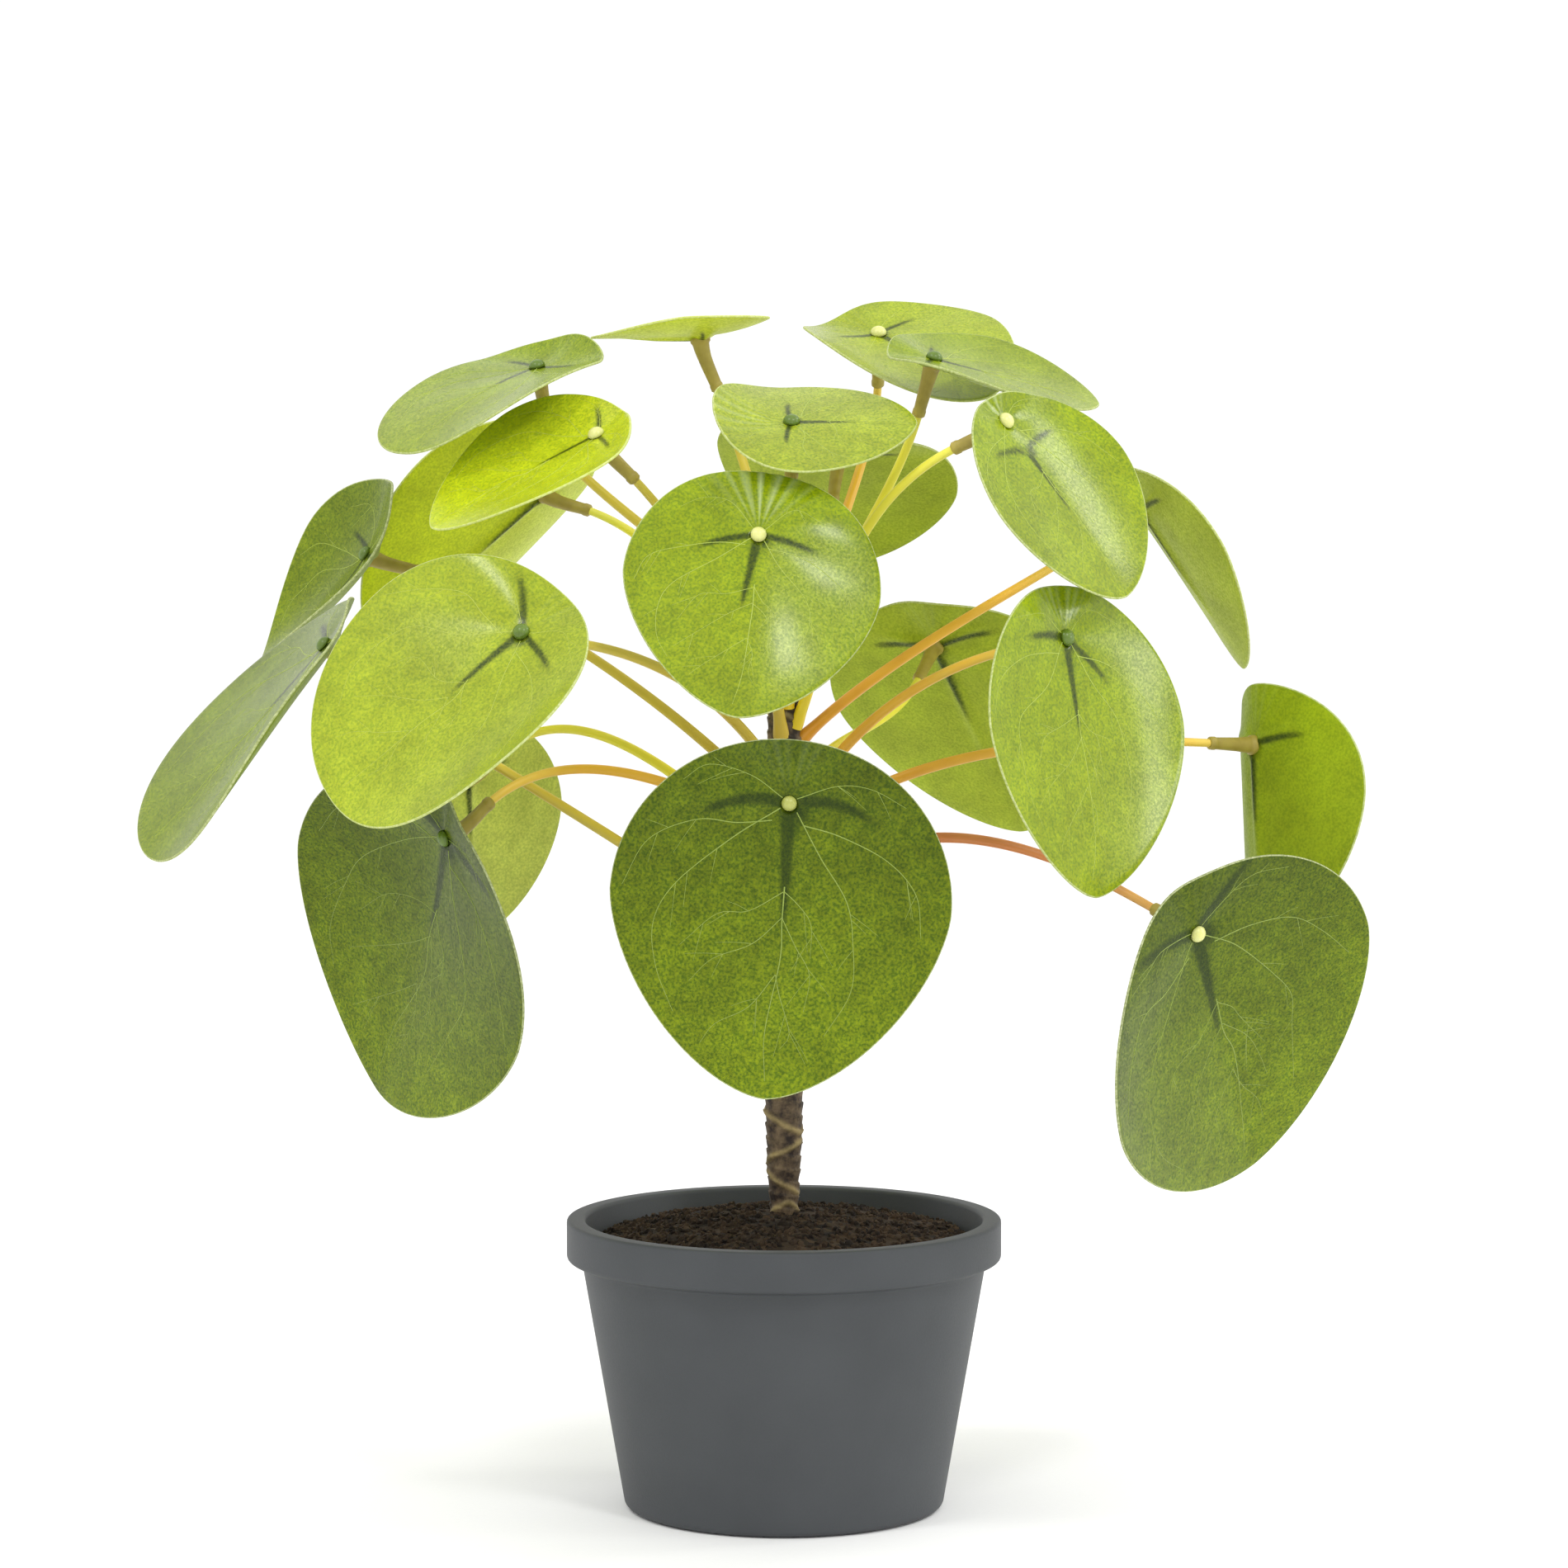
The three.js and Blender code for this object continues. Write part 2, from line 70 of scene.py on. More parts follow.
def add_node(tree, kind, inputs=None, **settings):
    """Add a node with its settings, and give its inputs their values or the outputs to link."""
    made = tree.nodes.new(kind)
    for name, value in settings.items():
        setattr(made, name, value)
    for key, given in (inputs or {}).items():
        if isinstance(given, bpy.types.NodeSocket):
            tree.links.new(given, made.inputs[key])
        else:
            made.inputs[key].default_value = given
    return made


def new_finish(name, **sockets):
    """A material with its Principled shader, whose even values are set on the shader itself."""
    material = bpy.data.materials.new(name)
    material.use_nodes = True
    tree = material.node_tree
    shader = tree.nodes["Principled BSDF"]
    for key, value in sockets.items():
        shader.inputs[key.replace("_", " ")].default_value = value
    return material, tree, shader


def plain_piece(name, points, faces, materials, face_slots=None):
    """A smooth mesh piece at the origin, from points in mm."""
    mesh = bpy.data.meshes.new(name)
    mesh.from_pydata((np.asarray(points) * MM).tolist(), [], [list(map(int, f)) for f in faces])
    for material in materials:
        mesh.materials.append(material)
    if face_slots is not None:
        mesh.polygons.foreach_set("material_index", np.asarray(face_slots, dtype=np.int32))
    mesh.shade_smooth()
    piece = bpy.data.objects.new(name, mesh)
    bpy.context.scene.collection.objects.link(piece)
    return piece


def lathe(profile, sides):
    """Turn a [radius, height] profile that starts and ends on the axis round +Z."""
    turn = np.linspace(0, 2 * np.pi, sides, endpoint=False)
    points, faces = [[0, 0, profile[0][1]]], []
    for radius, height in profile[1:-1]:
        ring = np.stack([radius * np.cos(turn), radius * np.sin(turn), np.full(sides, height)], 1)
        points.extend(ring.tolist())
    points.append([0, 0, profile[-1][1]])
    last, rings = len(points) - 1, len(profile) - 2
    for k in range(sides):
        n = (k + 1) % sides
        faces.append([0, 1 + n, 1 + k])
        for ring in range(rings - 1):
            a = 1 + ring * sides
            faces.append([a + k, a + n, a + sides + n, a + sides + k])
        top = 1 + (rings - 1) * sides
        faces.append([top + k, top + n, last])
    return points, faces


def rounded(profile, radius, steps=5):
    """Round each inner corner of a [radius, height] profile."""
    out = [profile[0]]
    for before, corner, after in zip(profile, profile[1:], profile[2:]):
        before, corner, after = (np.array(p, float) for p in (before, corner, after))
        to_before, to_after = before - corner, after - corner
        reach = min(radius, np.linalg.norm(to_before) * 0.45, np.linalg.norm(to_after) * 0.45)
        start = corner + to_before / np.linalg.norm(to_before) * reach
        end = corner + to_after / np.linalg.norm(to_after) * reach
        for i in range(steps + 1):
            t = i / steps
            out.append((start * (1 - t) ** 2 + 2 * corner * t * (1 - t) + end * t ** 2).tolist())
    out.append(profile[-1])
    return out


def pot_wall_radius(height):
    """The outer wall leans out evenly from the foot to the rim."""
    share = height / POT_HEIGHT
    return POT_FOOT_RADIUS + (POT_TOP_RADIUS - POT_RIM_STEP - POT_FOOT_RADIUS) * share


rim_foot = POT_HEIGHT - POT_RIM_HEIGHT
ring_radius, ring_depth = POT_FOOT_RING
pot_profile = rounded([
    [0, ring_depth], [ring_radius - 1, ring_depth], [ring_radius, 0],
    [POT_FOOT_RADIUS - POT_EDGE, 0], [pot_wall_radius(POT_EDGE), POT_EDGE],
    [pot_wall_radius(rim_foot), rim_foot],
    [POT_TOP_RADIUS, rim_foot + POT_EDGE], [POT_TOP_RADIUS, POT_HEIGHT],
    [pot_wall_radius(POT_HEIGHT) - POT_WALL, POT_HEIGHT],
    [pot_wall_radius(POT_FLOOR) - POT_WALL, POT_FLOOR], [0, POT_FLOOR],
], POT_EDGE)

# Polypropylene, moulded in a spark-eroded mould: an even matt grain of about 0.4 mm, which
# scatters highlights into a broad sheen, and a colour that clouds slightly where it flowed.
pot_finish, tree, shader = new_finish("moulded_matt_polypropylene", IOR=1.49)
place = add_node(tree, "ShaderNodeTexCoord").outputs["Object"]
cloud = add_node(tree, "ShaderNodeTexNoise", {"Scale": 45, "Detail": 3, "Vector": place})
tone = add_node(tree, "ShaderNodeMix",
                {6: linear("#34373a"), 7: linear("#44474a"), 0: cloud.outputs["Fac"]},
                data_type="RGBA")
grain = add_node(tree, "ShaderNodeTexNoise",
                 {"Scale": 2400, "Detail": 2, "Roughness": 0.6, "Vector": place})
matt = add_node(tree, "ShaderNodeMapRange",
                {"To Min": 0.5, "To Max": 0.66, "Value": grain.outputs["Fac"]})
relief = add_node(tree, "ShaderNodeBump",
                  {"Strength": 0.35, "Distance": 0.06 * MM, "Height": grain.outputs["Fac"]})
tree.links.new(tone.outputs[2], shader.inputs["Base Color"])
tree.links.new(matt.outputs["Result"], shader.inputs["Roughness"])
tree.links.new(relief.outputs["Normal"], shader.inputs["Normal"])

pot = plain_piece("pot_moulded", *lathe(pot_profile, POT_SIDES), [pot_finish])
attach(pot, "root")
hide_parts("pot")


# ---------------------------------------------------------------------------------------------
# The soil: loose crumbs of dark peat glued over a foam filling. The filling is heaped a little
# round the trunk, and the flat crumbs are scattered over it by hand.

SOIL_BASE = 3.35
SOIL_EDGE_LEVEL = 55
SOIL_CENTRE_LEVEL = 61
SOIL_WALL_GAP = 0.35
SOIL_LUMP = 0.7
SOIL_LUMP_PITCH = 6
SOIL_FLAT_BELOW = 55.2  # the edge of the filling has no lumps
CRUMB_SIZE = (0.45, 1.25)  # smallest and largest half width
CRUMBS_PER_SQUARE_MM = 0.42
CRUMB_EDGE_GAP = 1.4
CRUMBS_ABOVE = 55.05
CRUMB_SEED = 11
SOIL_SIDES = 120
SOIL_RINGS = 40


def new_tree(name, inputs):
    """An empty Geometry Nodes tree with a mesh in and out, and these named inputs."""
    made = bpy.data.node_groups.new(name, "GeometryNodeTree")
    made.interface.new_socket("Geometry", in_out="INPUT", socket_type="NodeSocketGeometry")
    made.interface.new_socket("Geometry", in_out="OUTPUT", socket_type="NodeSocketGeometry")
    for label, kind in inputs.items():
        made.interface.new_socket(label, in_out="INPUT", socket_type=kind)
    return made, add_node(made, "NodeGroupInput").outputs


def end_tree(tree, geometry, material):
    """Close a tree: make its copies real, give them their material and hand the mesh out."""
    real = add_node(tree, "GeometryNodeRealizeInstances", {"Geometry": geometry})
    finished = add_node(tree, "GeometryNodeSetMaterial",
                        {"Geometry": real.outputs[0], "Material": material})
    add_node(tree, "NodeGroupOutput", {0: finished.outputs[0]})


def grow(name, mesh, tree, settings):
    """Run a tree over a mesh with these settings, and keep the result as a plain piece."""
    piece = bpy.data.objects.new(name, mesh)
    bpy.context.scene.collection.objects.link(piece)
    modifier = piece.modifiers.new("grow", "NODES")
    modifier.node_group = tree
    for item in tree.interface.items_tree:
        if item.item_type == "SOCKET" and item.in_out == "INPUT" and item.name in settings:
            modifier[item.identifier] = settings[item.name]
    graph = bpy.context.evaluated_depsgraph_get()
    made = bpy.data.meshes.new_from_object(
        piece.evaluated_get(graph), preserve_all_data_layers=True, depsgraph=graph)
    made.name = name
    piece.modifiers.clear()
    piece.data = made
    return piece


def soil_wall_radius(height):
    return pot_wall_radius(height) - POT_WALL - SOIL_WALL_GAP


soil_edge_radius = soil_wall_radius(SOIL_EDGE_LEVEL)
soil_profile = [[0, SOIL_BASE], [soil_wall_radius(SOIL_BASE), SOIL_BASE],
                [soil_edge_radius, SOIL_EDGE_LEVEL]]
for i in range(SOIL_RINGS - 1, -1, -1):
    share = i / SOIL_RINGS
    heap = (SOIL_CENTRE_LEVEL - SOIL_EDGE_LEVEL) * (1 - share ** 2)
    soil_profile.append([soil_edge_radius * share, SOIL_EDGE_LEVEL + heap])
soil_points, soil_faces = lathe(soil_profile, SOIL_SIDES)
for point in soil_points:
    if point[2] > SOIL_FLAT_BELOW:
        at = Vector(point) / SOIL_LUMP_PITCH
        point[2] += SOIL_LUMP * (noise.noise(at) + 0.5 * noise.noise(at * 2.7))

# Peat crumbs, dry and matt: dark brown, in crumbs of 2 mm that each have their own shade, and
# rough with fibres of 0.5 mm. Nothing shines, so light only picks out the lumps.
soil_finish, tree, shader = new_finish("dry_peat_crumbs", Roughness=0.95, IOR=1.4)
place = add_node(tree, "ShaderNodeTexCoord").outputs["Object"]
crumb_shade = add_node(tree, "ShaderNodeTexVoronoi", {"Scale": 550, "Vector": place})
shade_share = add_node(tree, "ShaderNodeSeparateColor", {0: crumb_shade.outputs["Color"]})
tone = add_node(tree, "ShaderNodeMix",
                {6: linear("#1d1612"), 7: linear("#4a3a2b"), 0: shade_share.outputs[0]},
                data_type="RGBA")
fibre = add_node(tree, "ShaderNodeTexNoise",
                 {"Scale": 2200, "Detail": 4, "Roughness": 0.7, "Vector": place})
relief = add_node(tree, "ShaderNodeBump",
                  {"Strength": 0.8, "Distance": 0.25 * MM, "Height": fibre.outputs["Fac"]})
tree.links.new(tone.outputs[2], shader.inputs["Base Color"])
tree.links.new(relief.outputs["Normal"], shader.inputs["Normal"])

soil = plain_piece("soil_filling", soil_points, soil_faces, [soil_finish])

crumb_tree, given = new_tree("scattered crumbs", {
    "Per Area": "NodeSocketFloat", "Least": "NodeSocketFloat", "Most": "NodeSocketFloat",
    "Reach": "NodeSocketFloat", "Above": "NodeSocketFloat", "Seed": "NodeSocketInt",
    "Material": "NodeSocketMaterial"})
spot = add_node(crumb_tree, "ShaderNodeSeparateXYZ",
                {0: add_node(crumb_tree, "GeometryNodeInputPosition").outputs[0]})
flat_spot = add_node(crumb_tree, "ShaderNodeCombineXYZ", {0: spot.outputs[0], 1: spot.outputs[1]})
from_axis = add_node(crumb_tree, "ShaderNodeVectorMath", {0: flat_spot.outputs[0]},
                     operation="LENGTH")
inside = add_node(crumb_tree, "ShaderNodeMath", {0: from_axis.outputs["Value"], 1: given["Reach"]},
                  operation="LESS_THAN")
on_top = add_node(crumb_tree, "ShaderNodeMath", {0: spot.outputs[2], 1: given["Above"]},
                  operation="GREATER_THAN")
heap_only = add_node(crumb_tree, "ShaderNodeMath", {0: inside.outputs[0], 1: on_top.outputs[0]},
                     operation="MULTIPLY")
spots = add_node(crumb_tree, "GeometryNodeDistributePointsOnFaces", {
    "Mesh": given["Geometry"], "Selection": heap_only.outputs[0], "Density": given["Per Area"],
    "Seed": given["Seed"]})
crumb_shape = add_node(crumb_tree, "GeometryNodeMeshIcoSphere", {"Radius": 1.0, "Subdivisions": 1})
turned = add_node(crumb_tree, "FunctionNodeRandomValue",
                  {"Max": (6.3, 6.3, 6.3), "Seed": given["Seed"]}, data_type="FLOAT_VECTOR")
least = add_node(crumb_tree, "ShaderNodeCombineXYZ",
                 {0: given["Least"], 1: given["Least"], 2: given["Least"]})
most = add_node(crumb_tree, "ShaderNodeCombineXYZ",
                {0: given["Most"], 1: given["Most"], 2: given["Least"]})
sized = add_node(crumb_tree, "FunctionNodeRandomValue",
                 {0: least.outputs[0], 1: most.outputs[0], "Seed": given["Seed"]},
                 data_type="FLOAT_VECTOR")
crumbs_put = add_node(crumb_tree, "GeometryNodeInstanceOnPoints", {
    "Points": spots.outputs["Points"], "Instance": crumb_shape.outputs["Mesh"],
    "Rotation": turned.outputs[0], "Scale": sized.outputs[0]})
end_tree(crumb_tree, crumbs_put.outputs[0], given["Material"])

crumbs = grow("soil_crumbs", soil.data.copy(), crumb_tree, {
    "Per Area": CRUMBS_PER_SQUARE_MM / MM ** 2, "Least": CRUMB_SIZE[0] * MM,
    "Most": CRUMB_SIZE[1] * MM, "Reach": (soil_edge_radius - CRUMB_EDGE_GAP) * MM,
    "Above": CRUMBS_ABOVE * MM, "Seed": CRUMB_SEED, "Material": soil_finish})
for piece in (soil, crumbs):
    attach(piece, "root")
    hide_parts("soil")


# ---------------------------------------------------------------------------------------------
# The trunk: a bundle of wires wound with brown waxed paper tape, whose turns overlap and pucker.
# Paler tape is tied round it in slanting rings, as the scars of old stalks. It stands in the soil.

TRUNK_BOTTOM = 26
TRUNK_TOP = 180
# Each with its height and the radius there.
TRUNK_RADII = [[26, 2.8], [61, 2.9], [72, 3.6], [83, 4.0], [100, 3.7], [150, 3.6], [180, 3.3]]
TAPE_PITCH = 2.8
TAPE_LIFT = 0.3
SCAR_SPACING = 6.5
SCAR_SLANT = 2.8  # how far a ring rises and falls on its way round
SCAR_WIDTH = 1.05
SCAR_LIFT = 0.35
SCAR_SEED = 4.0
TRUNK_SIDES = 72
TRUNK_STEPS = 620
TRUNK_TOP_ROUNDING = 2.5
WIRE_INSET = 0.25  # how far the wires lie inside the tape


def lines_mesh(name, lines):
    """A mesh of open lines, each a (points, radii) pair in mm, with how far along each point is."""
    points = np.concatenate([line[0] for line in lines]) * MM
    edges, first = [], 0
    for line in lines:
        count = len(line[0])
        edges.extend([[first + i, first + i + 1] for i in range(count - 1)])
        first += count
    mesh = bpy.data.meshes.new(name)
    mesh.from_pydata(points.tolist(), edges, [])
    radius = mesh.attributes.new("radius_here", "FLOAT", "POINT")
    radius.data.foreach_set("value", np.concatenate([line[1] for line in lines]) * MM)
    along = mesh.attributes.new("along", "FLOAT", "POINT")
    shares = [np.linspace(0, 1, len(line[0])) for line in lines]
    along.data.foreach_set("value", np.concatenate(shares))
    return mesh


def sweep_lines(tree, given):
    """Sweep a round section along the lines of a tree's mesh, by their own radii."""
    line = add_node(tree, "GeometryNodeMeshToCurve", {0: given["Geometry"]})
    radius = add_node(tree, "GeometryNodeInputNamedAttribute", {"Name": "radius_here"})
    section = add_node(tree, "GeometryNodeCurvePrimitiveCircle",
                       {"Radius": 1.0, "Resolution": given["Sides"]})
    return add_node(tree, "GeometryNodeCurveToMesh", {
        "Fill Caps": True, "Curve": line.outputs[0], "Profile Curve": section.outputs[0],
        "Scale": radius.outputs[0]})


def trunk_radius(height):
    return np.interp(height, *zip(*TRUNK_RADII))


tape_tree, given = new_tree("taped trunk", {
    "Sides": "NodeSocketInt", "Tape Pitch": "NodeSocketFloat", "Tape Lift": "NodeSocketFloat",
    "Scar Spacing": "NodeSocketFloat", "Scar Slant": "NodeSocketFloat",
    "Scar Width": "NodeSocketFloat", "Scar Lift": "NodeSocketFloat", "Seed": "NodeSocketFloat",
    "Material": "NodeSocketMaterial"})
swept = sweep_lines(tape_tree, given)
position = add_node(tape_tree, "GeometryNodeInputPosition").outputs[0]
spot = add_node(tape_tree, "ShaderNodeSeparateXYZ", {0: position}).outputs
# Each turn of the tape laps over the last one.
angle = add_node(tape_tree, "ShaderNodeMath", {0: spot[1], 1: spot[0]},
                 operation="ARCTAN2").outputs[0]
climb = add_node(tape_tree, "ShaderNodeMath", {0: spot[2], 1: given["Tape Pitch"]},
                 operation="DIVIDE").outputs[0]
turned = add_node(tape_tree, "ShaderNodeMath", {0: angle, 1: 2 * math.pi},
                  operation="DIVIDE").outputs[0]
turns = add_node(tape_tree, "ShaderNodeMath", {0: climb, 1: turned}, operation="ADD").outputs[0]
through_turn = add_node(tape_tree, "ShaderNodeMath", {0: turns}, operation="FRACT").outputs[0]
overlap = add_node(tape_tree, "ShaderNodeMath", {0: through_turn, 1: 1.6},
                   operation="POWER").outputs[0]
# It puckers in small creases that run along the trunk.
stretched = add_node(tape_tree, "ShaderNodeVectorMath", {0: position, 1: (1, 1, 0.45)},
                     operation="MULTIPLY").outputs[0]
pucker = add_node(tape_tree, "ShaderNodeTexNoise",
                  {"Scale": 900.0, "Detail": 3.0, "Vector": stretched})
# Every scar ring slants its own way, and comes to a peak on one side.
wobble = add_node(tape_tree, "ShaderNodeTexNoise",
                  {"Scale": 160.0, "Vector": position}).outputs["Fac"]
spaced = add_node(tape_tree, "ShaderNodeMath", {0: spot[2], 1: given["Scar Spacing"]},
                  operation="DIVIDE").outputs[0]
level = add_node(tape_tree, "ShaderNodeMath", {0: wobble, 1: 0.25, 2: spaced},
                 operation="MULTIPLY_ADD").outputs[0]
cell = add_node(tape_tree, "ShaderNodeMath", {0: level}, operation="FLOOR").outputs[0]
seeded = add_node(tape_tree, "ShaderNodeMath", {0: cell, 1: given["Seed"]},
                  operation="ADD").outputs[0]
chance = add_node(tape_tree, "ShaderNodeTexWhiteNoise", {"W": seeded}, noise_dimensions="1D")
faced = add_node(tape_tree, "ShaderNodeMath",
                 {0: chance.outputs["Value"], 1: -2 * math.pi, 2: angle},
                 operation="MULTIPLY_ADD").outputs[0]
swing = add_node(tape_tree, "ShaderNodeMath", {0: faced}, operation="COSINE").outputs[0]
held = add_node(tape_tree, "ShaderNodeMath", {0: swing, 1: 0.98}, operation="MULTIPLY").outputs[0]
chevron = add_node(tape_tree, "ShaderNodeMath", {0: held}, operation="ARCSINE").outputs[0]
slant = add_node(tape_tree, "ShaderNodeMath", {0: given["Scar Slant"], 1: 2 / math.pi},
                 operation="MULTIPLY").outputs[0]
slanted = add_node(tape_tree, "ShaderNodeMath", {0: chevron, 1: slant},
                   operation="MULTIPLY").outputs[0]
through_cell = add_node(tape_tree, "ShaderNodeMath", {0: level}, operation="FRACT").outputs[0]
from_middle = add_node(tape_tree, "ShaderNodeMath", {0: through_cell, 1: 0.5},
                       operation="SUBTRACT").outputs[0]
height_off = add_node(tape_tree, "ShaderNodeMath", {0: from_middle, 1: given["Scar Spacing"]},
                      operation="MULTIPLY").outputs[0]
apart = add_node(tape_tree, "ShaderNodeMath", {0: height_off, 1: slanted},
                 operation="SUBTRACT").outputs[0]
off_scar = add_node(tape_tree, "ShaderNodeMath", {0: apart}, operation="ABSOLUTE").outputs[0]
scar = add_node(tape_tree, "ShaderNodeMapRange", {
    "Value": off_scar, "From Min": 0.0, "From Max": given["Scar Width"], "To Min": 1.0,
    "To Max": 0.0}, interpolation_type="SMOOTHSTEP").outputs["Result"]
# The laps, the puckers and the rings lift the tape outward.
scar_lift = add_node(tape_tree, "ShaderNodeMath", {0: scar, 1: given["Scar Lift"]},
                     operation="MULTIPLY").outputs[0]
tape_lift = add_node(tape_tree, "ShaderNodeMath", {0: overlap, 1: given["Tape Lift"], 2: scar_lift},
                     operation="MULTIPLY_ADD").outputs[0]
uneven = add_node(tape_tree, "ShaderNodeMath", {0: pucker.outputs["Fac"], 1: 0.5},
                  operation="SUBTRACT").outputs[0]
lift = add_node(tape_tree, "ShaderNodeMath", {0: uneven, 1: 0.5 * MM, 2: tape_lift},
                operation="MULTIPLY_ADD").outputs[0]
from_axis = add_node(tape_tree, "ShaderNodeCombineXYZ", {0: spot[0], 1: spot[1]}).outputs[0]
outward = add_node(tape_tree, "ShaderNodeVectorMath", {0: from_axis},
                   operation="NORMALIZE").outputs[0]
offset = add_node(tape_tree, "ShaderNodeVectorMath", {0: outward, "Scale": lift},
                  operation="SCALE").outputs[0]
moved = add_node(tape_tree, "GeometryNodeSetPosition",
                 {"Geometry": swept.outputs[0], "Offset": offset})
kept_scar = add_node(tape_tree, "GeometryNodeStoreNamedAttribute",
                     {"Name": "scar", "Geometry": moved.outputs[0], "Value": scar})
end_tree(tape_tree, kept_scar.outputs[0], given["Material"])

# Waxed crepe paper tape: dark brown with paler blotches of 4 mm, creased lengthways every 0.3 mm,
# with a dull waxy gleam on the creases. The scar rings are of tan tape, stained in blotches too.
tape_finish, tree, shader = new_finish("waxed_paper_tape", IOR=1.45, Roughness=0.68)
place = add_node(tree, "ShaderNodeTexCoord").outputs["Object"]
blotch = add_node(tree, "ShaderNodeTexNoise",
                  {"Scale": 260, "Detail": 4, "Roughness": 0.65, "Vector": place})
stained = add_node(tree, "ShaderNodeMapRange",
                   {"From Min": 0.4, "From Max": 0.64, "Value": blotch.outputs["Fac"]}).outputs[0]
brown = add_node(tree, "ShaderNodeMix", {6: linear("#271b16"), 7: linear("#7e6a50"), 0: stained},
                 data_type="RGBA")
scar_here = add_node(tree, "ShaderNodeAttribute", attribute_name="scar")
rubbed = add_node(tree, "ShaderNodeMath", {0: scar_here.outputs["Fac"], 1: blotch.outputs["Fac"]},
                  operation="MULTIPLY").outputs[0]
tan = add_node(tree, "ShaderNodeMix", {7: linear("#c4ae74"), 0: rubbed, 6: brown.outputs[2]},
               data_type="RGBA")
long_grain = add_node(tree, "ShaderNodeMapping", {"Scale": (1, 1, 0.25), "Vector": place})
crease = add_node(tree, "ShaderNodeTexNoise",
                  {"Scale": 3200, "Detail": 3, "Vector": long_grain.outputs[0]})
relief = add_node(tree, "ShaderNodeBump",
                  {"Strength": 0.7, "Distance": 0.12 * MM, "Height": crease.outputs["Fac"]})
tree.links.new(tan.outputs[2], shader.inputs["Base Color"])
tree.links.new(relief.outputs["Normal"], shader.inputs["Normal"])

trunk_heights = np.linspace(TRUNK_BOTTOM, TRUNK_TOP, TRUNK_STEPS)
trunk_line = np.stack([0 * trunk_heights, 0 * trunk_heights, trunk_heights], 1)
rounded_top = np.sqrt(np.clip((TRUNK_TOP - trunk_heights) / TRUNK_TOP_ROUNDING, 0.02, 1))
trunk = grow("trunk_taped", lines_mesh("trunk_taped", [
    (trunk_line, (trunk_radius(trunk_heights) - WIRE_INSET) * rounded_top)]), tape_tree, {
        "Sides": TRUNK_SIDES, "Tape Pitch": TAPE_PITCH * MM, "Tape Lift": TAPE_LIFT * MM,
        "Scar Spacing": SCAR_SPACING * MM, "Scar Slant": SCAR_SLANT * MM,
        "Scar Width": SCAR_WIDTH * MM, "Scar Lift": SCAR_LIFT * MM, "Seed": SCAR_SEED,
        "Material": tape_finish})
trunk.data.shade_smooth()
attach(trunk, "root")
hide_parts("trunk")


# ---------------------------------------------------------------------------------------------
# The stalks: steel wires drawn through coloured polyethylene, bent by hand from the trunk to
# the leaves. Their colour runs from redder at the root to the leaf's yellow-green.

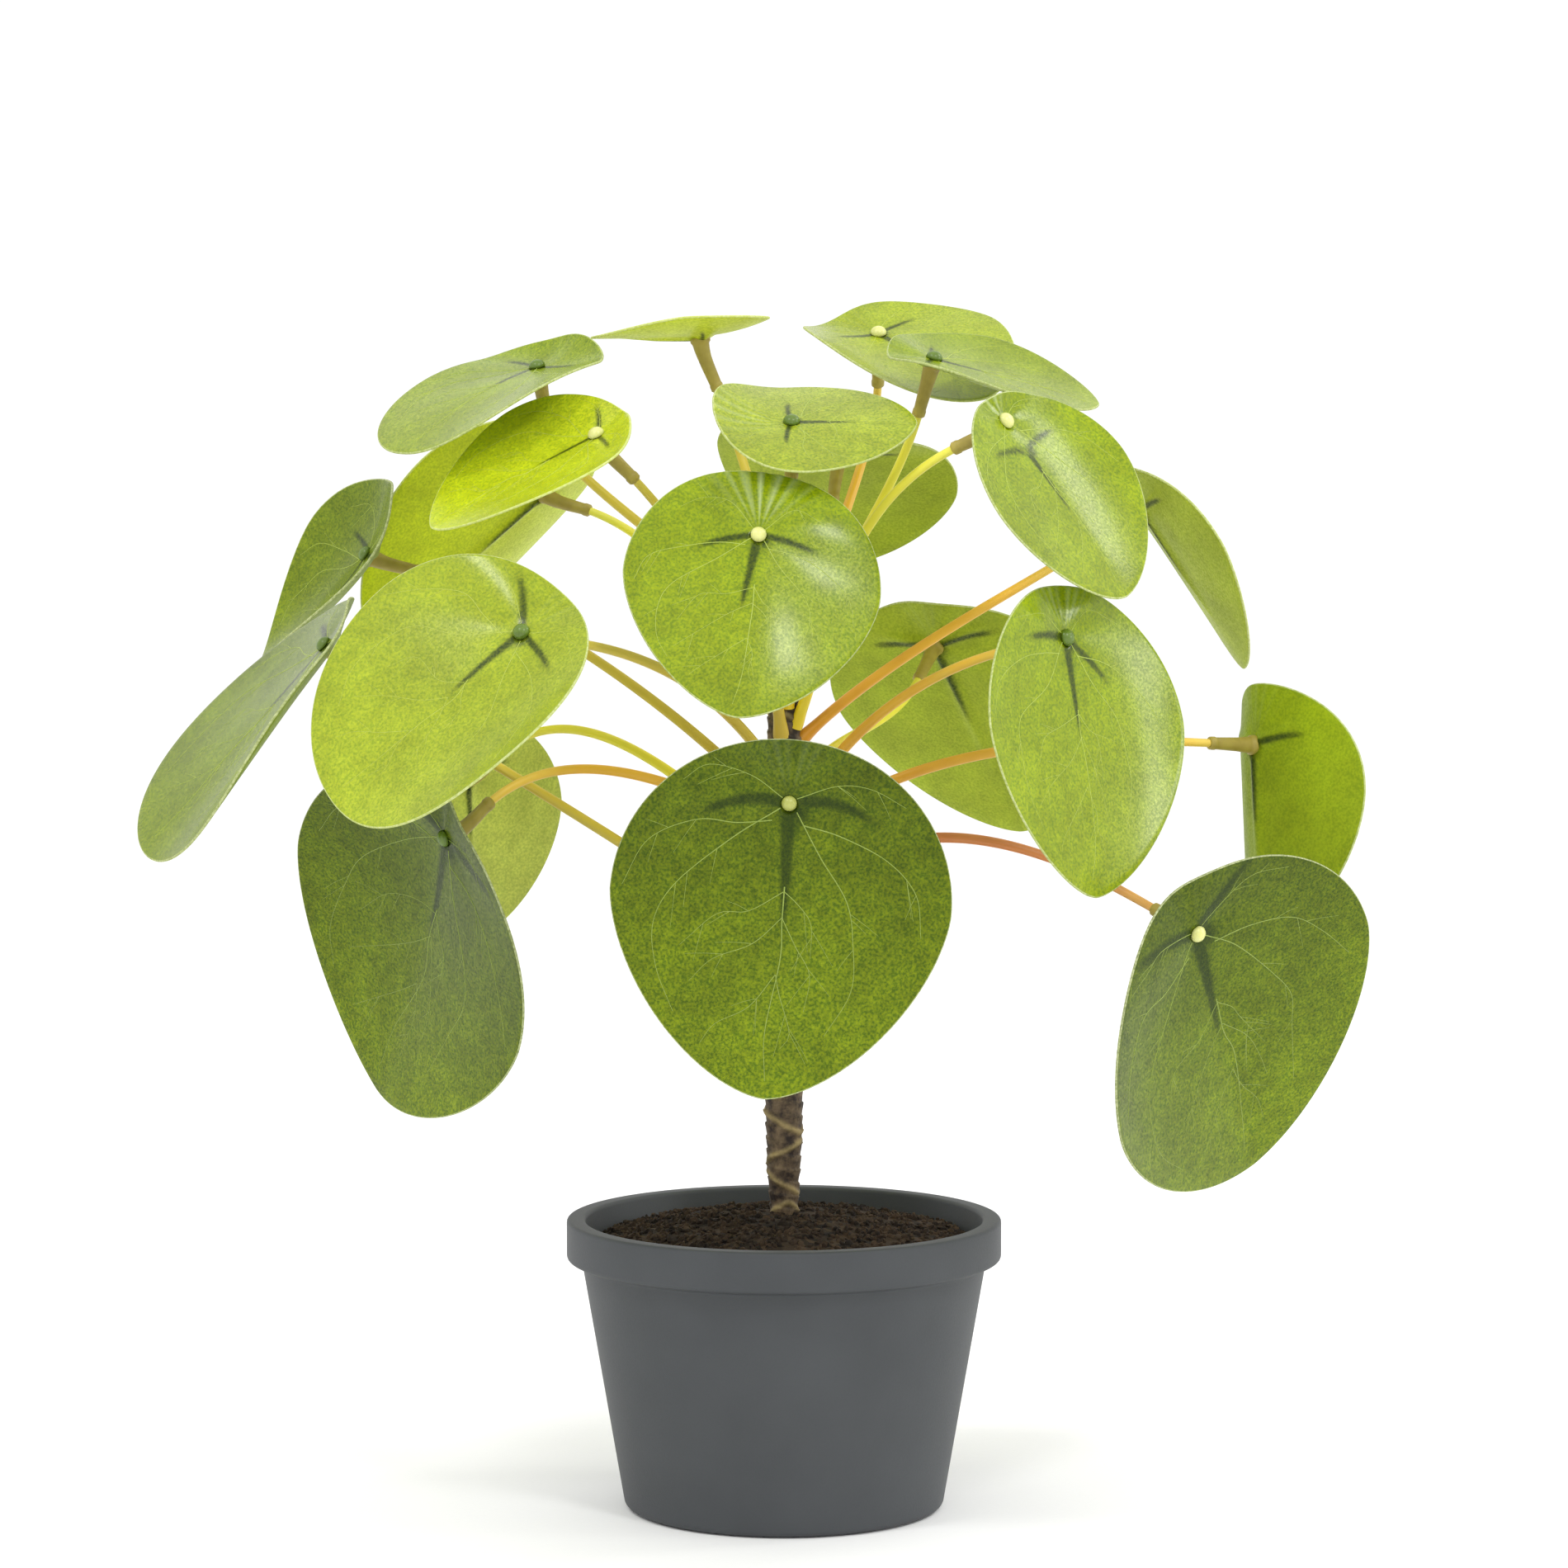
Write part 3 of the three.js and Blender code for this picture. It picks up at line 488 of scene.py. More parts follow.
# The leaves, in mm and degrees: at is the knob's place, faces the azimuth (0 to the front, 90
# to the right) and elevation of the blade's face, and roll turns its tip from straight down.
# hole: how far the knob sits below the top edge, as a share of the length. taper: how quickly
# the lower half narrows. sides and ends: how far the blade curls, left, right, top and tip.
# crease folds it along the midrib, twist turns the tip, wave ripples the edge. leans is the
# socket's direction where it isn't square to the blade. root: the stalk's height on the trunk,
# turn and rise there. runs: how far it keeps its direction at its two ends.
LEAVES = {
    "front_low": dict(tone="old", at=(1, -68, 151), faces=(0, 4), roll=-5, length=70, hole=0.18,
        taper=1.25, sides=(-8, -8), ends=(-14, -6), wave=(0.6, 40), root=(130, 12, 50),
        runs=(24, 18), stalk="olive"),
    "front_mid": dict(tone="mid", at=(-5, -48, 202), faces=(4, 28), roll=-8, length=54, hole=0.28,
        taper=1.25, sides=(-8, -16), ends=(-10, -8), wave=(0.6, 100), root=(160, -4, 66),
        runs=(22, 14), stalk="olive"),
    "front_high": dict(tone="mid", at=(1.5, -28, 224), faces=(0, 64), roll=90, length=42,
        hole=0.4, taper=1.25, sides=(-10, -6), ends=(34, 0), wave=(0.6, 0), root=(166, 8, 74),
        runs=(24, 14), stalk="yellow"),
    "left_front": dict(tone="young", at=(-50.5, -62, 183.5), faces=(-20, 32), roll=-42, length=61,
        hole=0.19, taper=1, sides=(0, 34), ends=(-14, -14), crease=6, wave=(0.6, 60),
        leans=(-35, 5), root=(152, 0, 48), runs=(30, 20), stalk="olive"),
    "left_low": dict(tone="old", at=(-67, -38, 142), faces=(-63, -15), roll=-37, length=78,
        hole=0.12, taper=1.2, sides=(30, -12), ends=(-8, 22), crease=6, wave=(0.6, 10),
        leans=(-60, -38), root=(141, 0, 24), runs=(18, 24), stalk="orange"),
    "left_top": dict(tone="mid", at=(-51, 10, 235.5), faces=(-37, 74), roll=-10, length=50,
        hole=0.22, taper=0.95, sides=(0, 18), ends=(53, -23), wave=(0.6, 0), root=(175, 0, 60),
        runs=(26, 14), stalk="olive"),
    "left_bright": dict(tone="young", at=(-37.5, -22, 221.5), faces=(-42, 56), roll=-35,
        length=46, hole=0.17, taper=1.2, sides=(13, 7), ends=(19, -3), crease=6, wave=(0.6, 0),
        leans=(-75, 46), root=(169, 0, 56), runs=(20, 20), stalk="olive"),
    "left_behind": dict(tone="young", at=(-52.5, 60, 209.5), faces=(-130, 35), roll=35, length=64,
        hole=0.22, taper=1.1, sides=(20, 6), ends=(0, 0), crease=11, wave=(0.6, 0),
        leans=(-110, 17), root=(164, 0, 52), runs=(20, 20), stalk="yellow"),
    "left_dark": dict(tone="mid", at=(-88, 28, 196.5), faces=(-73, 30), roll=-14, length=50,
        hole=0.33, taper=1, sides=(53, 25), ends=(25, 26), twist=-14, wave=(0.8, 0),
        leans=(-95, 15), root=(145, 0, 46), runs=(26, 24), stalk="olive"),
    "left_side": dict(tone="mid", at=(-92, -24, 179.5), faces=(-74, 39), roll=-9, length=67,
        hole=0.17, taper=1.05, sides=(2, 26), ends=(22, 3), twist=22, wave=(0.8, 0),
        root=(116, 0, 40), runs=(30, 20), stalk="olive"),
    "back_low": dict(tone="young", at=(-68, 38, 149), faces=(-145, 12), roll=-10, length=50,
        hole=0.25, taper=1.25, sides=(0, 0), ends=(0, 0), wave=(0.8, 0), leans=(-115, -38),
        root=(135, 0, 36), runs=(26, 24), stalk="yellow"),
    "back_mid": dict(tone="mid", at=(12, 52, 218), faces=(166, 58), roll=17, length=57, hole=0.23,
        taper=1.25, sides=(0, 19), ends=(-18, -10), crease=4, wave=(0.8, 0), root=(157, 8, 66),
        runs=(24, 16), stalk="yellow"),
    "back_right": dict(tone="mid", at=(33.5, 70, 176), faces=(154, 38), roll=-6, length=68,
        hole=0.18, taper=1.25, sides=(4, 4), ends=(0, 0), wave=(0.8, 0), root=(145, 0, 46),
        runs=(24, 22), stalk="yellow"),
    "top_left": dict(tone="young", at=(-17.5, 15, 242.5), faces=(-90, 86), roll=0, length=38,
        hole=0.4, taper=1.25, sides=(22, 22), ends=(20, 5), wave=(0, 0), leans=(-90, 69),
        root=(178, -24, 80), runs=(20, 14), stalk="olive"),
    "top_back": dict(tone="young", at=(20, 35, 243), faces=(0, 62), roll=38, length=49, hole=0.25,
        taper=1.25, sides=(40, 5), ends=(0, 0), wave=(0.8, 0), root=(171, -15, 70), runs=(24, 16),
        stalk="orange"),
    "top_right": dict(tone="young", at=(30.5, -5, 237), faces=(45, 69), roll=43, length=45,
        hole=0.22, taper=1.25, sides=(16, 16), ends=(0, 0), wave=(0.8, 0), root=(174, 0, 66),
        runs=(24, 16), stalk="yellow"),
    "right_high": dict(tone="mid", at=(43.5, -38, 224.2), faces=(49, 32), roll=16, length=48,
        hole=0.12, taper=1.15, sides=(-6, 13), ends=(13, 0), crease=7, wave=(0.6, 0),
        leans=(70, 25), root=(162, 14, 60), runs=(16, 30), stalk="yellow"),
    "right_edge": dict(tone="mid", at=(75.5, 22, 206.5), faces=(101, 33), roll=0, length=52,
        hole=0.22, taper=1.25, sides=(10, 10), ends=(0, 0), crease=6, wave=(0.6, 0),
        root=(158, 0, 44), runs=(26, 18), stalk="orange"),
    "right_mid": dict(tone="mid", at=(55, -48, 182), faces=(50, 11), roll=-3, length=62,
        hole=0.17, taper=1.25, sides=(-6, 6), ends=(0, 0), crease=7, wave=(0.6, 0),
        root=(143, 0, 54), runs=(28, 20), stalk="orange"),
    "right_side": dict(tone="mid", at=(98, 8, 157.5), faces=(122, -4), roll=-8, length=54,
        hole=0.24, taper=1.1, sides=(8, 60), ends=(0, 0), crease=15, wave=(0.6, 0),
        root=(139, 0, 40), runs=(34, 24), stalk="orange"),
    "right_low": dict(tone="old", at=(81, -48, 124), faces=(42, -19), roll=34, length=78,
        hole=0.16, taper=1.25, sides=(17, 5), ends=(-8, 0), crease=8, wave=(0.6, 0),
        root=(127, 0, 40), runs=(40, 20), stalk="red"),
}
SOCKET_LENGTH = 9.5
RIB_HEIGHT = 1.0
CAD_HALF_BLADE = 0.35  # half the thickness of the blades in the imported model
CAD_SEAT_GAP = 0.5  # between the socket's end and the ribs there
STALK_ROOT_RADIUS = 1.2
STALK_END_RADIUS = 0.85
STALK_ROOT_DEPTH = 1.0
STALK_SWELL = (0.5, 0.05)  # how much thicker at the root, and over what share of the length
STALK_SIDES = 18
STALK_STEPS = 64


def direction(azimuth, elevation):
    """The direction of an azimuth (0 to the front, 90 to the right) and an elevation."""
    a, e = math.radians(azimuth), math.radians(elevation)
    return np.array([math.sin(a) * math.cos(e), -math.cos(a) * math.cos(e), math.sin(e)])


def leaf_axes(leaf):
    """A leaf's knob, and its own axes: square to the blade, down it to the tip, and right."""
    face = direction(*leaf["faces"])
    down = np.array([0, 0, -1.0]) + face * face[2]
    down /= np.linalg.norm(down)
    side = np.cross(face, down)
    roll = math.radians(leaf["roll"])
    tip = down * math.cos(roll) + side * math.sin(roll)
    return np.array(leaf["at"], float), face, tip, np.cross(face, tip)


def bend(ends, count):
    """Points along the smooth bend that four control points give."""
    t = np.linspace(0, 1, count)[:, None]
    a, b, c, d = ends
    return a * (1 - t) ** 3 + 3 * b * t * (1 - t) ** 2 + 3 * c * t ** 2 * (1 - t) + d * t ** 3


def stalk_line(leaf):
    """A stalk's bend from the trunk to its socket, and the socket's rear end and direction."""
    knob, face, _, _ = leaf_axes(leaf)
    lean = direction(*leaf["leans"]) if "leans" in leaf else face
    socket_front = knob - face * (CAD_HALF_BLADE + RIB_HEIGHT + CAD_SEAT_GAP)
    socket_rear = socket_front - lean * SOCKET_LENGTH
    height, turn, rise = leaf["root"]
    azimuth = math.degrees(math.atan2(socket_rear[0], -socket_rear[1])) + turn
    start = direction(azimuth, 0) * (trunk_radius(height) - STALK_ROOT_DEPTH)
    start[2] = height
    leaving = direction(azimuth, rise)
    first, last = leaf["runs"]
    controls = [start, start + leaving * first, socket_rear - lean * last, socket_rear]
    return bend(controls, STALK_STEPS), socket_rear, lean


bar_tree, given = new_tree("bar along a line", {
    "Sides": "NodeSocketInt", "Material": "NodeSocketMaterial"})
end_tree(bar_tree, sweep_lines(bar_tree, given).outputs[0], given["Material"])

# Polyethylene over wire: satin and slightly see-through, so edges glow a little. The colour was
# sprayed on by hand and shifts along the stalk; fine specks of 0.5 mm roughen it.
STALK_COLOURS = {  # at the root, along the middle, at the socket
    "yellow": ("#e8cc2a", "#f5e83e", "#e8e250"), "olive": ("#c8ac3a", "#dcc444", "#d0be4a"),
    "orange": ("#e09a28", "#f5bd3c", "#e8c850"), "red": ("#c8603a", "#dd8c50", "#d8a654")}
stalk_finishes = {}
for colour, shades in STALK_COLOURS.items():
    finish, tree, shader = new_finish(
        f"polyethylene_stalk_{colour}", IOR=1.5, Roughness=0.42, Subsurface_Weight=0.06,
        Subsurface_Radius=(1.0, 0.8, 0.3), Subsurface_Scale=0.8 * MM)
    place = add_node(tree, "ShaderNodeTexCoord").outputs["Object"]
    along = add_node(tree, "ShaderNodeAttribute", attribute_name="along").outputs["Fac"]
    drift = add_node(tree, "ShaderNodeTexNoise", {"Scale": 120, "Detail": 3, "Vector": place})
    shifted = add_node(tree, "ShaderNodeMath", {0: drift.outputs["Fac"], 1: 0.5},
                       operation="SUBTRACT").outputs[0]
    spread = add_node(tree, "ShaderNodeMath", {0: shifted, 1: 0.5, 2: along},
                      operation="MULTIPLY_ADD").outputs[0]
    from_root = add_node(tree, "ShaderNodeMapRange",
                         {"From Min": 0.0, "From Max": 0.45, "Value": spread})
    to_socket = add_node(tree, "ShaderNodeMapRange",
                         {"From Min": 0.6, "From Max": 1.0, "Value": spread})
    root_shade = add_node(tree, "ShaderNodeMix",
                          {6: linear(shades[0]), 7: linear(shades[1]), 0: from_root.outputs[0]},
                          data_type="RGBA")
    shade = add_node(tree, "ShaderNodeMix",
                     {7: linear(shades[2]), 0: to_socket.outputs[0], 6: root_shade.outputs[2]},
                     data_type="RGBA")
    speck = add_node(tree, "ShaderNodeTexNoise", {"Scale": 1800, "Detail": 2, "Vector": place})
    relief = add_node(tree, "ShaderNodeBump",
                      {"Strength": 0.25, "Distance": 0.05 * MM, "Height": speck.outputs["Fac"]})
    tree.links.new(shade.outputs[2], shader.inputs["Base Color"])
    tree.links.new(relief.outputs["Normal"], shader.inputs["Normal"])
    stalk_finishes[colour] = finish

for name, leaf in LEAVES.items():
    line, *_ = stalk_line(leaf)
    share = np.linspace(0, 1, STALK_STEPS)
    swell = STALK_SWELL[0] * np.exp(-(share / STALK_SWELL[1]) ** 2)
    radii = STALK_ROOT_RADIUS + (STALK_END_RADIUS - STALK_ROOT_RADIUS) * share + swell
    stalk = grow(f"wire_{name}", lines_mesh(f"wire_{name}", [(line, radii)]), bar_tree,
                 {"Sides": STALK_SIDES, "Material": stalk_finishes[leaf["stalk"]]})
    stalk.data.shade_smooth()
    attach(stalk, "root")
    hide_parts(f"stalk_{name}")


# ---------------------------------------------------------------------------------------------
# The sockets and knobs: moulded polyethylene. A tapered sleeve is pushed over the end of each
# stalk, its neck goes through the hole in the blade, and the domed knob on it holds the blade.

HALF_BLADE = 0.25  # half the thickness of the cloth
# The share of the sleeve's length, from the wire to the blade, and its radius there.
SOCKET_RADII = [[0, 1.0], [0.02, 1.35], [0.1, 1.4], [0.13, 1.25], [0.6, 1.45], [0.86, 1.75],
                [0.9, 2.1], [0.98, 2.1], [1, 1.8]]
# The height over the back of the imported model's blade, and the knob's radius there.
KNOB_RADII = [[0, 0.8], [0.6, 0.8], [0.62, 1.7], [0.75, 1.85], [1.2, 1.8], [1.7, 1.45],
              [2.05, 0.85], [2.15, 0.35], [2.18, 0.02]]
SOCKET_RUNS = (3.5, 4)  # how far the sleeve keeps its direction at its two ends
SOCKET_STEPS = 40
SOCKET_SIDES = 24
SOCKET_OVERLAP = 1.0  # how far the sleeve reaches back over the wire
NECK_GAP = 0.02  # between the sleeve's end and the cloth

# Moulded polyethylene: the sleeve is a dull brownish gold with a satin mould skin, clouded every
# 2 to 3 mm. The knob is smoother, with a gloss point where light catches the dome.
socket_finish, tree, shader = new_finish(
    "moulded_polyethylene_olive", IOR=1.5, Roughness=0.5, Subsurface_Weight=0.05,
    Subsurface_Radius=(1.0, 0.8, 0.3), Subsurface_Scale=0.8 * MM)
place = add_node(tree, "ShaderNodeTexCoord").outputs["Object"]
cloud = add_node(tree, "ShaderNodeTexNoise", {"Scale": 400, "Detail": 3, "Vector": place})
tone = add_node(tree, "ShaderNodeMix",
                {6: linear("#8c7a2c"), 7: linear("#b9a848"), 0: cloud.outputs["Fac"]},
                data_type="RGBA")
relief = add_node(tree, "ShaderNodeBump",
                  {"Strength": 0.3, "Distance": 0.05 * MM, "Height": cloud.outputs["Fac"]})
tree.links.new(tone.outputs[2], shader.inputs["Base Color"])
tree.links.new(relief.outputs["Normal"], shader.inputs["Normal"])

# A few knobs are clear yellow, and the others were printed over in the leaf's green.
KNOB_COLOURS = {"front_low": "olive", "front_mid": "yellow", "right_low": "yellow",
                "top_back": "yellow", "right_high": "yellow", "left_bright": "yellow"}
KNOB_SHADES = {"yellow": ("#cfcf78", "#e6e79c"), "olive": ("#8f9440", "#b9bd66"),
               "green": ("#49601a", "#6f8a2c")}
KNOB_SIZES = {"front_low": 0.8, "front_mid": 0.85, "others": 0.92}
knob_finishes = {}
for colour, shades in KNOB_SHADES.items():
    finish, tree, shader = new_finish(
        f"moulded_polyethylene_{colour}", IOR=1.5, Roughness=0.32, Subsurface_Weight=0.3,
        Subsurface_Radius=(1.0, 0.9, 0.5), Subsurface_Scale=1.0 * MM)
    place = add_node(tree, "ShaderNodeTexCoord").outputs["Object"]
    cloud = add_node(tree, "ShaderNodeTexNoise", {"Scale": 700, "Detail": 2, "Vector": place})
    tone = add_node(tree, "ShaderNodeMix",
                    {6: linear(shades[0]), 7: linear(shades[1]), 0: cloud.outputs["Fac"]},
                    data_type="RGBA")
    relief = add_node(tree, "ShaderNodeBump",
                      {"Strength": 0.2, "Distance": 0.04 * MM, "Height": cloud.outputs["Fac"]})
    tree.links.new(tone.outputs[2], shader.inputs["Base Color"])
    tree.links.new(relief.outputs["Normal"], shader.inputs["Normal"])
    knob_finishes[colour] = finish

for name, leaf in LEAVES.items():
    _, rear, lean = stalk_line(leaf)
    knob_at, face, _, _ = leaf_axes(leaf)
    front = knob_at - face * (HALF_BLADE + NECK_GAP)
    first, last = SOCKET_RUNS
    path = bend([rear - lean * SOCKET_OVERLAP, rear + lean * first, front - face * last, front],
                SOCKET_STEPS)
    path_radii = np.interp(np.linspace(0, 1, SOCKET_STEPS), *zip(*SOCKET_RADII))
    heights, knob_radii = np.array(KNOB_RADII).T
    knob_line = knob_at + np.outer(heights - CAD_HALF_BLADE, face)
    knob_radii = knob_radii * KNOB_SIZES.get(name, KNOB_SIZES["others"])
    knob_finish = knob_finishes[KNOB_COLOURS.get(name, "green")]
    for kind, points, radii, finish in (("socket", path, path_radii, socket_finish),
                                        ("knob", knob_line, knob_radii, knob_finish)):
        piece = grow(f"{kind}_{name}", lines_mesh(f"{kind}_{name}", [(points, radii)]), bar_tree,
                     {"Sides": SOCKET_SIDES, "Material": finish})
        piece.data.shade_smooth()
        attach(piece, "root")
        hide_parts(f"stalk_{name}")


# ---------------------------------------------------------------------------------------------
# The blades: polyester cloth, printed on both sides and coated, cut to the leaf's outline and
# pressed hot into shape. Three ribs are moulded on the back, and each blade hangs on its knob.

# The blade's width, and how far it reaches up and down from its widest line, as shares of its
# length.
BLADE_WIDTH = 0.95
BLADE_UPPER = 0.45
BLADE_LOWER = 0.55
BLADE_HELD_RADIUS = 4  # how far round the knob the blade is held flat
BLADE_CREASE_RADIUS = 3  # how round the fold along the midrib is
BLADE_WAVES = 3  # ripples on the way round the edge
BLADE_HOLE = 1.35
BLADE_TRIM = 0.1  # how far inside its outline the cloth is cut
BLADE_SIDES = 160
FRONT_RINGS = 34
BACK_RINGS = 16
EDGE_STEPS = (60, 30, 0, -30, -60)  # degrees round the cut edge
FRONT, EDGE, BACK = 0, 1, 2
FACE_SLOTS, EDGE_SLOT = {FRONT: 0, BACK: 1}, 2
RIB_TURNS = (0, 108, 252)  # round the knob: down the midrib, and up to each side
RIB_HALF_WIDTH = 1.3
RIB_FADE = ((0, 0.36, 0.7), (1, 0.7, 0))  # the share of the way to the edge, and the height left
# The few inks that the cloths were printed with, each with its shade at the top edge and at the
# tip, and the blades that were cut from each cloth.
PRINT_INKS = {
    "deep olive": ("#4c5c0c", "#6c7f0c"), "olive": ("#6a7c1c", "#74860c"),
    "fresh green": ("#80940c", "#86981c"), "light green": ("#92a224", "#9aaa2c"),
    "yellow green": ("#b2c024", "#b4c418"), "pale green": ("#b4c04c", "#b0ba58")}
PRINTED_WITH = {
    "deep olive": ("front_low", "left_low", "right_low"),
    "olive": ("left_dark", "left_side"),
    "fresh green": ("front_mid", "left_top", "right_high", "right_mid", "right_side", "top_right"),
    "light green": ("front_high", "left_front", "top_back", "right_edge", "back_mid", "back_right"),
    "yellow green": ("left_bright", "left_behind", "top_left"),
    "pale green": ("back_low",)}
PRINT_SHADES = {leaf: PRINT_INKS[ink] for ink, leaves in PRINTED_WITH.items() for leaf in leaves}


def curl(distance, reach, degrees):
    """How far a strip runs and rises when it curls evenly, by so many degrees over its reach."""
    rate = np.radians(degrees) / reach
    small = np.abs(rate) < 1e-6
    rate = np.where(small, 1.0, rate)
    run = np.where(small, distance, np.sin(rate * distance) / rate)
    rise = np.where(small, 0.0, (1 - np.cos(rate * distance)) / rate)
    return run, rise


def blade_middle(leaf, across, up):
    """The curled blade's middle surface, from flat places in mm: across, and up from the knob."""
    knob, face, tip, right = leaf_axes(leaf)
    half_width = leaf["length"] * BLADE_WIDTH / 2
    above = leaf["length"] * leaf["hole"]
    below = leaf["length"] - above
    x, rise_across = curl(across, half_width, np.where(across < 0, *leaf["sides"]))
    y, rise_along = curl(up, np.where(up > 0, above, below), np.where(up > 0, *leaf["ends"]))
    edge = np.hypot(across / half_width, (up + (below - above) / 2) / (leaf["length"] / 2))
    height, start = leaf["wave"]
    phase = BLADE_WAVES * np.arctan2(across, -up) + math.radians(start)
    ripple = height * edge ** 2 * np.sin(phase)
    fold = math.tan(math.radians(leaf.get("crease", 0))) * (
        np.hypot(across, BLADE_CREASE_RADIUS) - BLADE_CREASE_RADIUS)
    turned = across * up / leaf["length"] * math.tan(math.radians(leaf.get("twist", 0)))
    free = 1 - np.exp(-(np.hypot(across, up) / BLADE_HELD_RADIUS) ** 2)
    lift = free * (rise_across + rise_along + ripple + fold + turned)
    return knob + x[..., None] * right - y[..., None] * tip + lift[..., None] * face


def blade_surface(leaf, across, up):
    """The blade's middle points and their normals."""
    near = 0.3
    along_x = blade_middle(leaf, across + near, up) - blade_middle(leaf, across - near, up)
    along_y = blade_middle(leaf, across, up + near) - blade_middle(leaf, across, up - near)
    normal = np.cross(along_x, along_y)
    normal /= np.linalg.norm(normal, axis=-1, keepdims=True)
    return blade_middle(leaf, across, up), normal


def blade_edge(leaf, turn):
    """The flat outline, as across and up from the knob. A turn of 0 is the tip."""
    up = -np.cos(turn)
    power = np.where(up < 0, leaf["taper"], 1)
    widest = leaf["hole"] - BLADE_UPPER
    reach = np.where(up < 0, -BLADE_LOWER, BLADE_UPPER)
    side = np.sin(turn)
    return (leaf["length"] * BLADE_WIDTH / 2 * np.sign(side) * np.abs(side) ** power,
            leaf["length"] * (widest + reach * np.abs(up) ** power))


# The dark lines of painted shade from the knob, where the ribs on the back and the socket darken
# the light through the blade: down the midrib, right and left. Each has its length, its width
# near the knob and that at the end, as drawn for a blade 70 mm long, and on each leaf they set
# out at their own turns.
DRAWN_LENGTH = 70
STREAKS = ((23, 3.3, 1.0), (16.5, 2.6, 1.6), (16.5, 2.6, 1.6))
STREAK_START = 0.8  # from the knob's middle
STREAK_BLURS = {"sides": 0.16, "start": 0.3, "end": 0.8, "blot": 0.35}
STREAKS_BELOW_KNOB = {"right_high": 7}
STREAK_BOW = {"front_low": 1.7, "others": 0.6}
STREAK_TURNS = {
    "others": (0, 94, 264), "front_low": (2, 83, 280), "front_mid": (-6, 80, 288),
    "right_mid": (0, 50, 272), "right_high": (0, 96, 262), "left_front": (0, 84, 236),
    "left_bright": (0, 90, 250), "right_low": (-2, 120, 250),
}
STREAK_SHARE = {"old": 1.0, "mid": 0.8, "young": 0.7}  # how wide they are on each kind of leaf
BLOT = (1.8, -1.7, 2.3)  # the painted shadow of the socket beside the knob: across, up, and its radius
# The pleats above the knob, and how strong they are on each blade. Their crests are also
# painted pale, as a painted highlight.
PLEAT_HEIGHT = 0.12
PLEAT_SPREAD = 30  # degrees each side of straight up
PLEAT_COUNT = 30  # as many as would go right round the knob
PLEATS = {"front_mid": 1.0, "right_high": 1.0, "right_mid": 0.7, "front_high": 0.4, "others": 0.12}
# The folds between the ribs, and how strong they are on each blade.
FOLD_SLOPE = 0.045
FOLD_START = 3  # from the knob
FOLDS = {"front_mid": 1.0, "right_mid": 1.0, "right_high": 0.9, "left_front": 0.7, "others": 0.3}


def soft_step(distance, width):
    """From 1 well inside a line to 0 well outside it."""
    return 1 / (1 + np.exp(np.clip(distance / width, -40, 40)))


def rib_shade_marks(name, leaf, across, up):
    """Where shade is painted dark along a rib, or as the socket's shadow beside the knob, from 0 to
    1.
    """
    size = leaf["length"] / DRAWN_LENGTH
    thin = STREAK_SHARE[leaf["tone"]]
    up = up + STREAKS_BELOW_KNOB.get(name, 0)
    mark = np.zeros_like(across)
    turns = STREAK_TURNS.get(name, STREAK_TURNS["others"])
    most_bow = STREAK_BOW.get(name, STREAK_BOW["others"])
    for turn, (length, start_width, end_width) in zip(turns, STREAKS):
        t = math.radians(turn)
        along = (across * math.sin(t) - up * math.cos(t)) / size
        sideways = math.copysign(1, math.sin(t)) if abs(math.sin(t)) > 0.5 else 0
        share = np.clip(along / length, 0, 1)
        bow = most_bow * sideways * np.sin(share * math.pi)
        off = np.abs((across * math.cos(t) + up * math.sin(t)) / size - bow)
        half = (start_width + (end_width - start_width) * share) / 2 * thin
        line = (soft_step(off - half, STREAK_BLURS["sides"])
                * soft_step(along - length * thin ** 0.5, STREAK_BLURS["end"])
                * soft_step(STREAK_START - along, STREAK_BLURS["start"]))
        mark = np.maximum(mark, line)
    x, y, radius = BLOT
    off = np.hypot(across / size - x * thin, up / size - y * thin) - radius * thin
    return np.maximum(mark, soft_step(off, STREAK_BLURS["blot"]))


def pressed_relief(name, across, up, share):
    """The pleats from -1 to 1, and how far they and the folds lift the blade, in mm."""
    turn = np.arctan2(across, -up)
    upper = np.exp(-((180 - np.abs(np.degrees(turn))) / PLEAT_SPREAD) ** 2)
    pleat = np.sin(turn * PLEAT_COUNT + 1.5 * np.sin(turn * 3)) * upper * np.clip(share * 2.5, 0, 1)
    pleat = pleat * PLEATS.get(name, PLEATS["others"])
    away = np.clip(np.hypot(across, up) - FOLD_START, 0, None)
    slope = FOLD_SLOPE * FOLDS.get(name, FOLDS["others"])
    fold = slope * np.cos(3 * turn) * away * (1 - share ** 2)
    return pleat, PLEAT_HEIGHT * pleat + fold


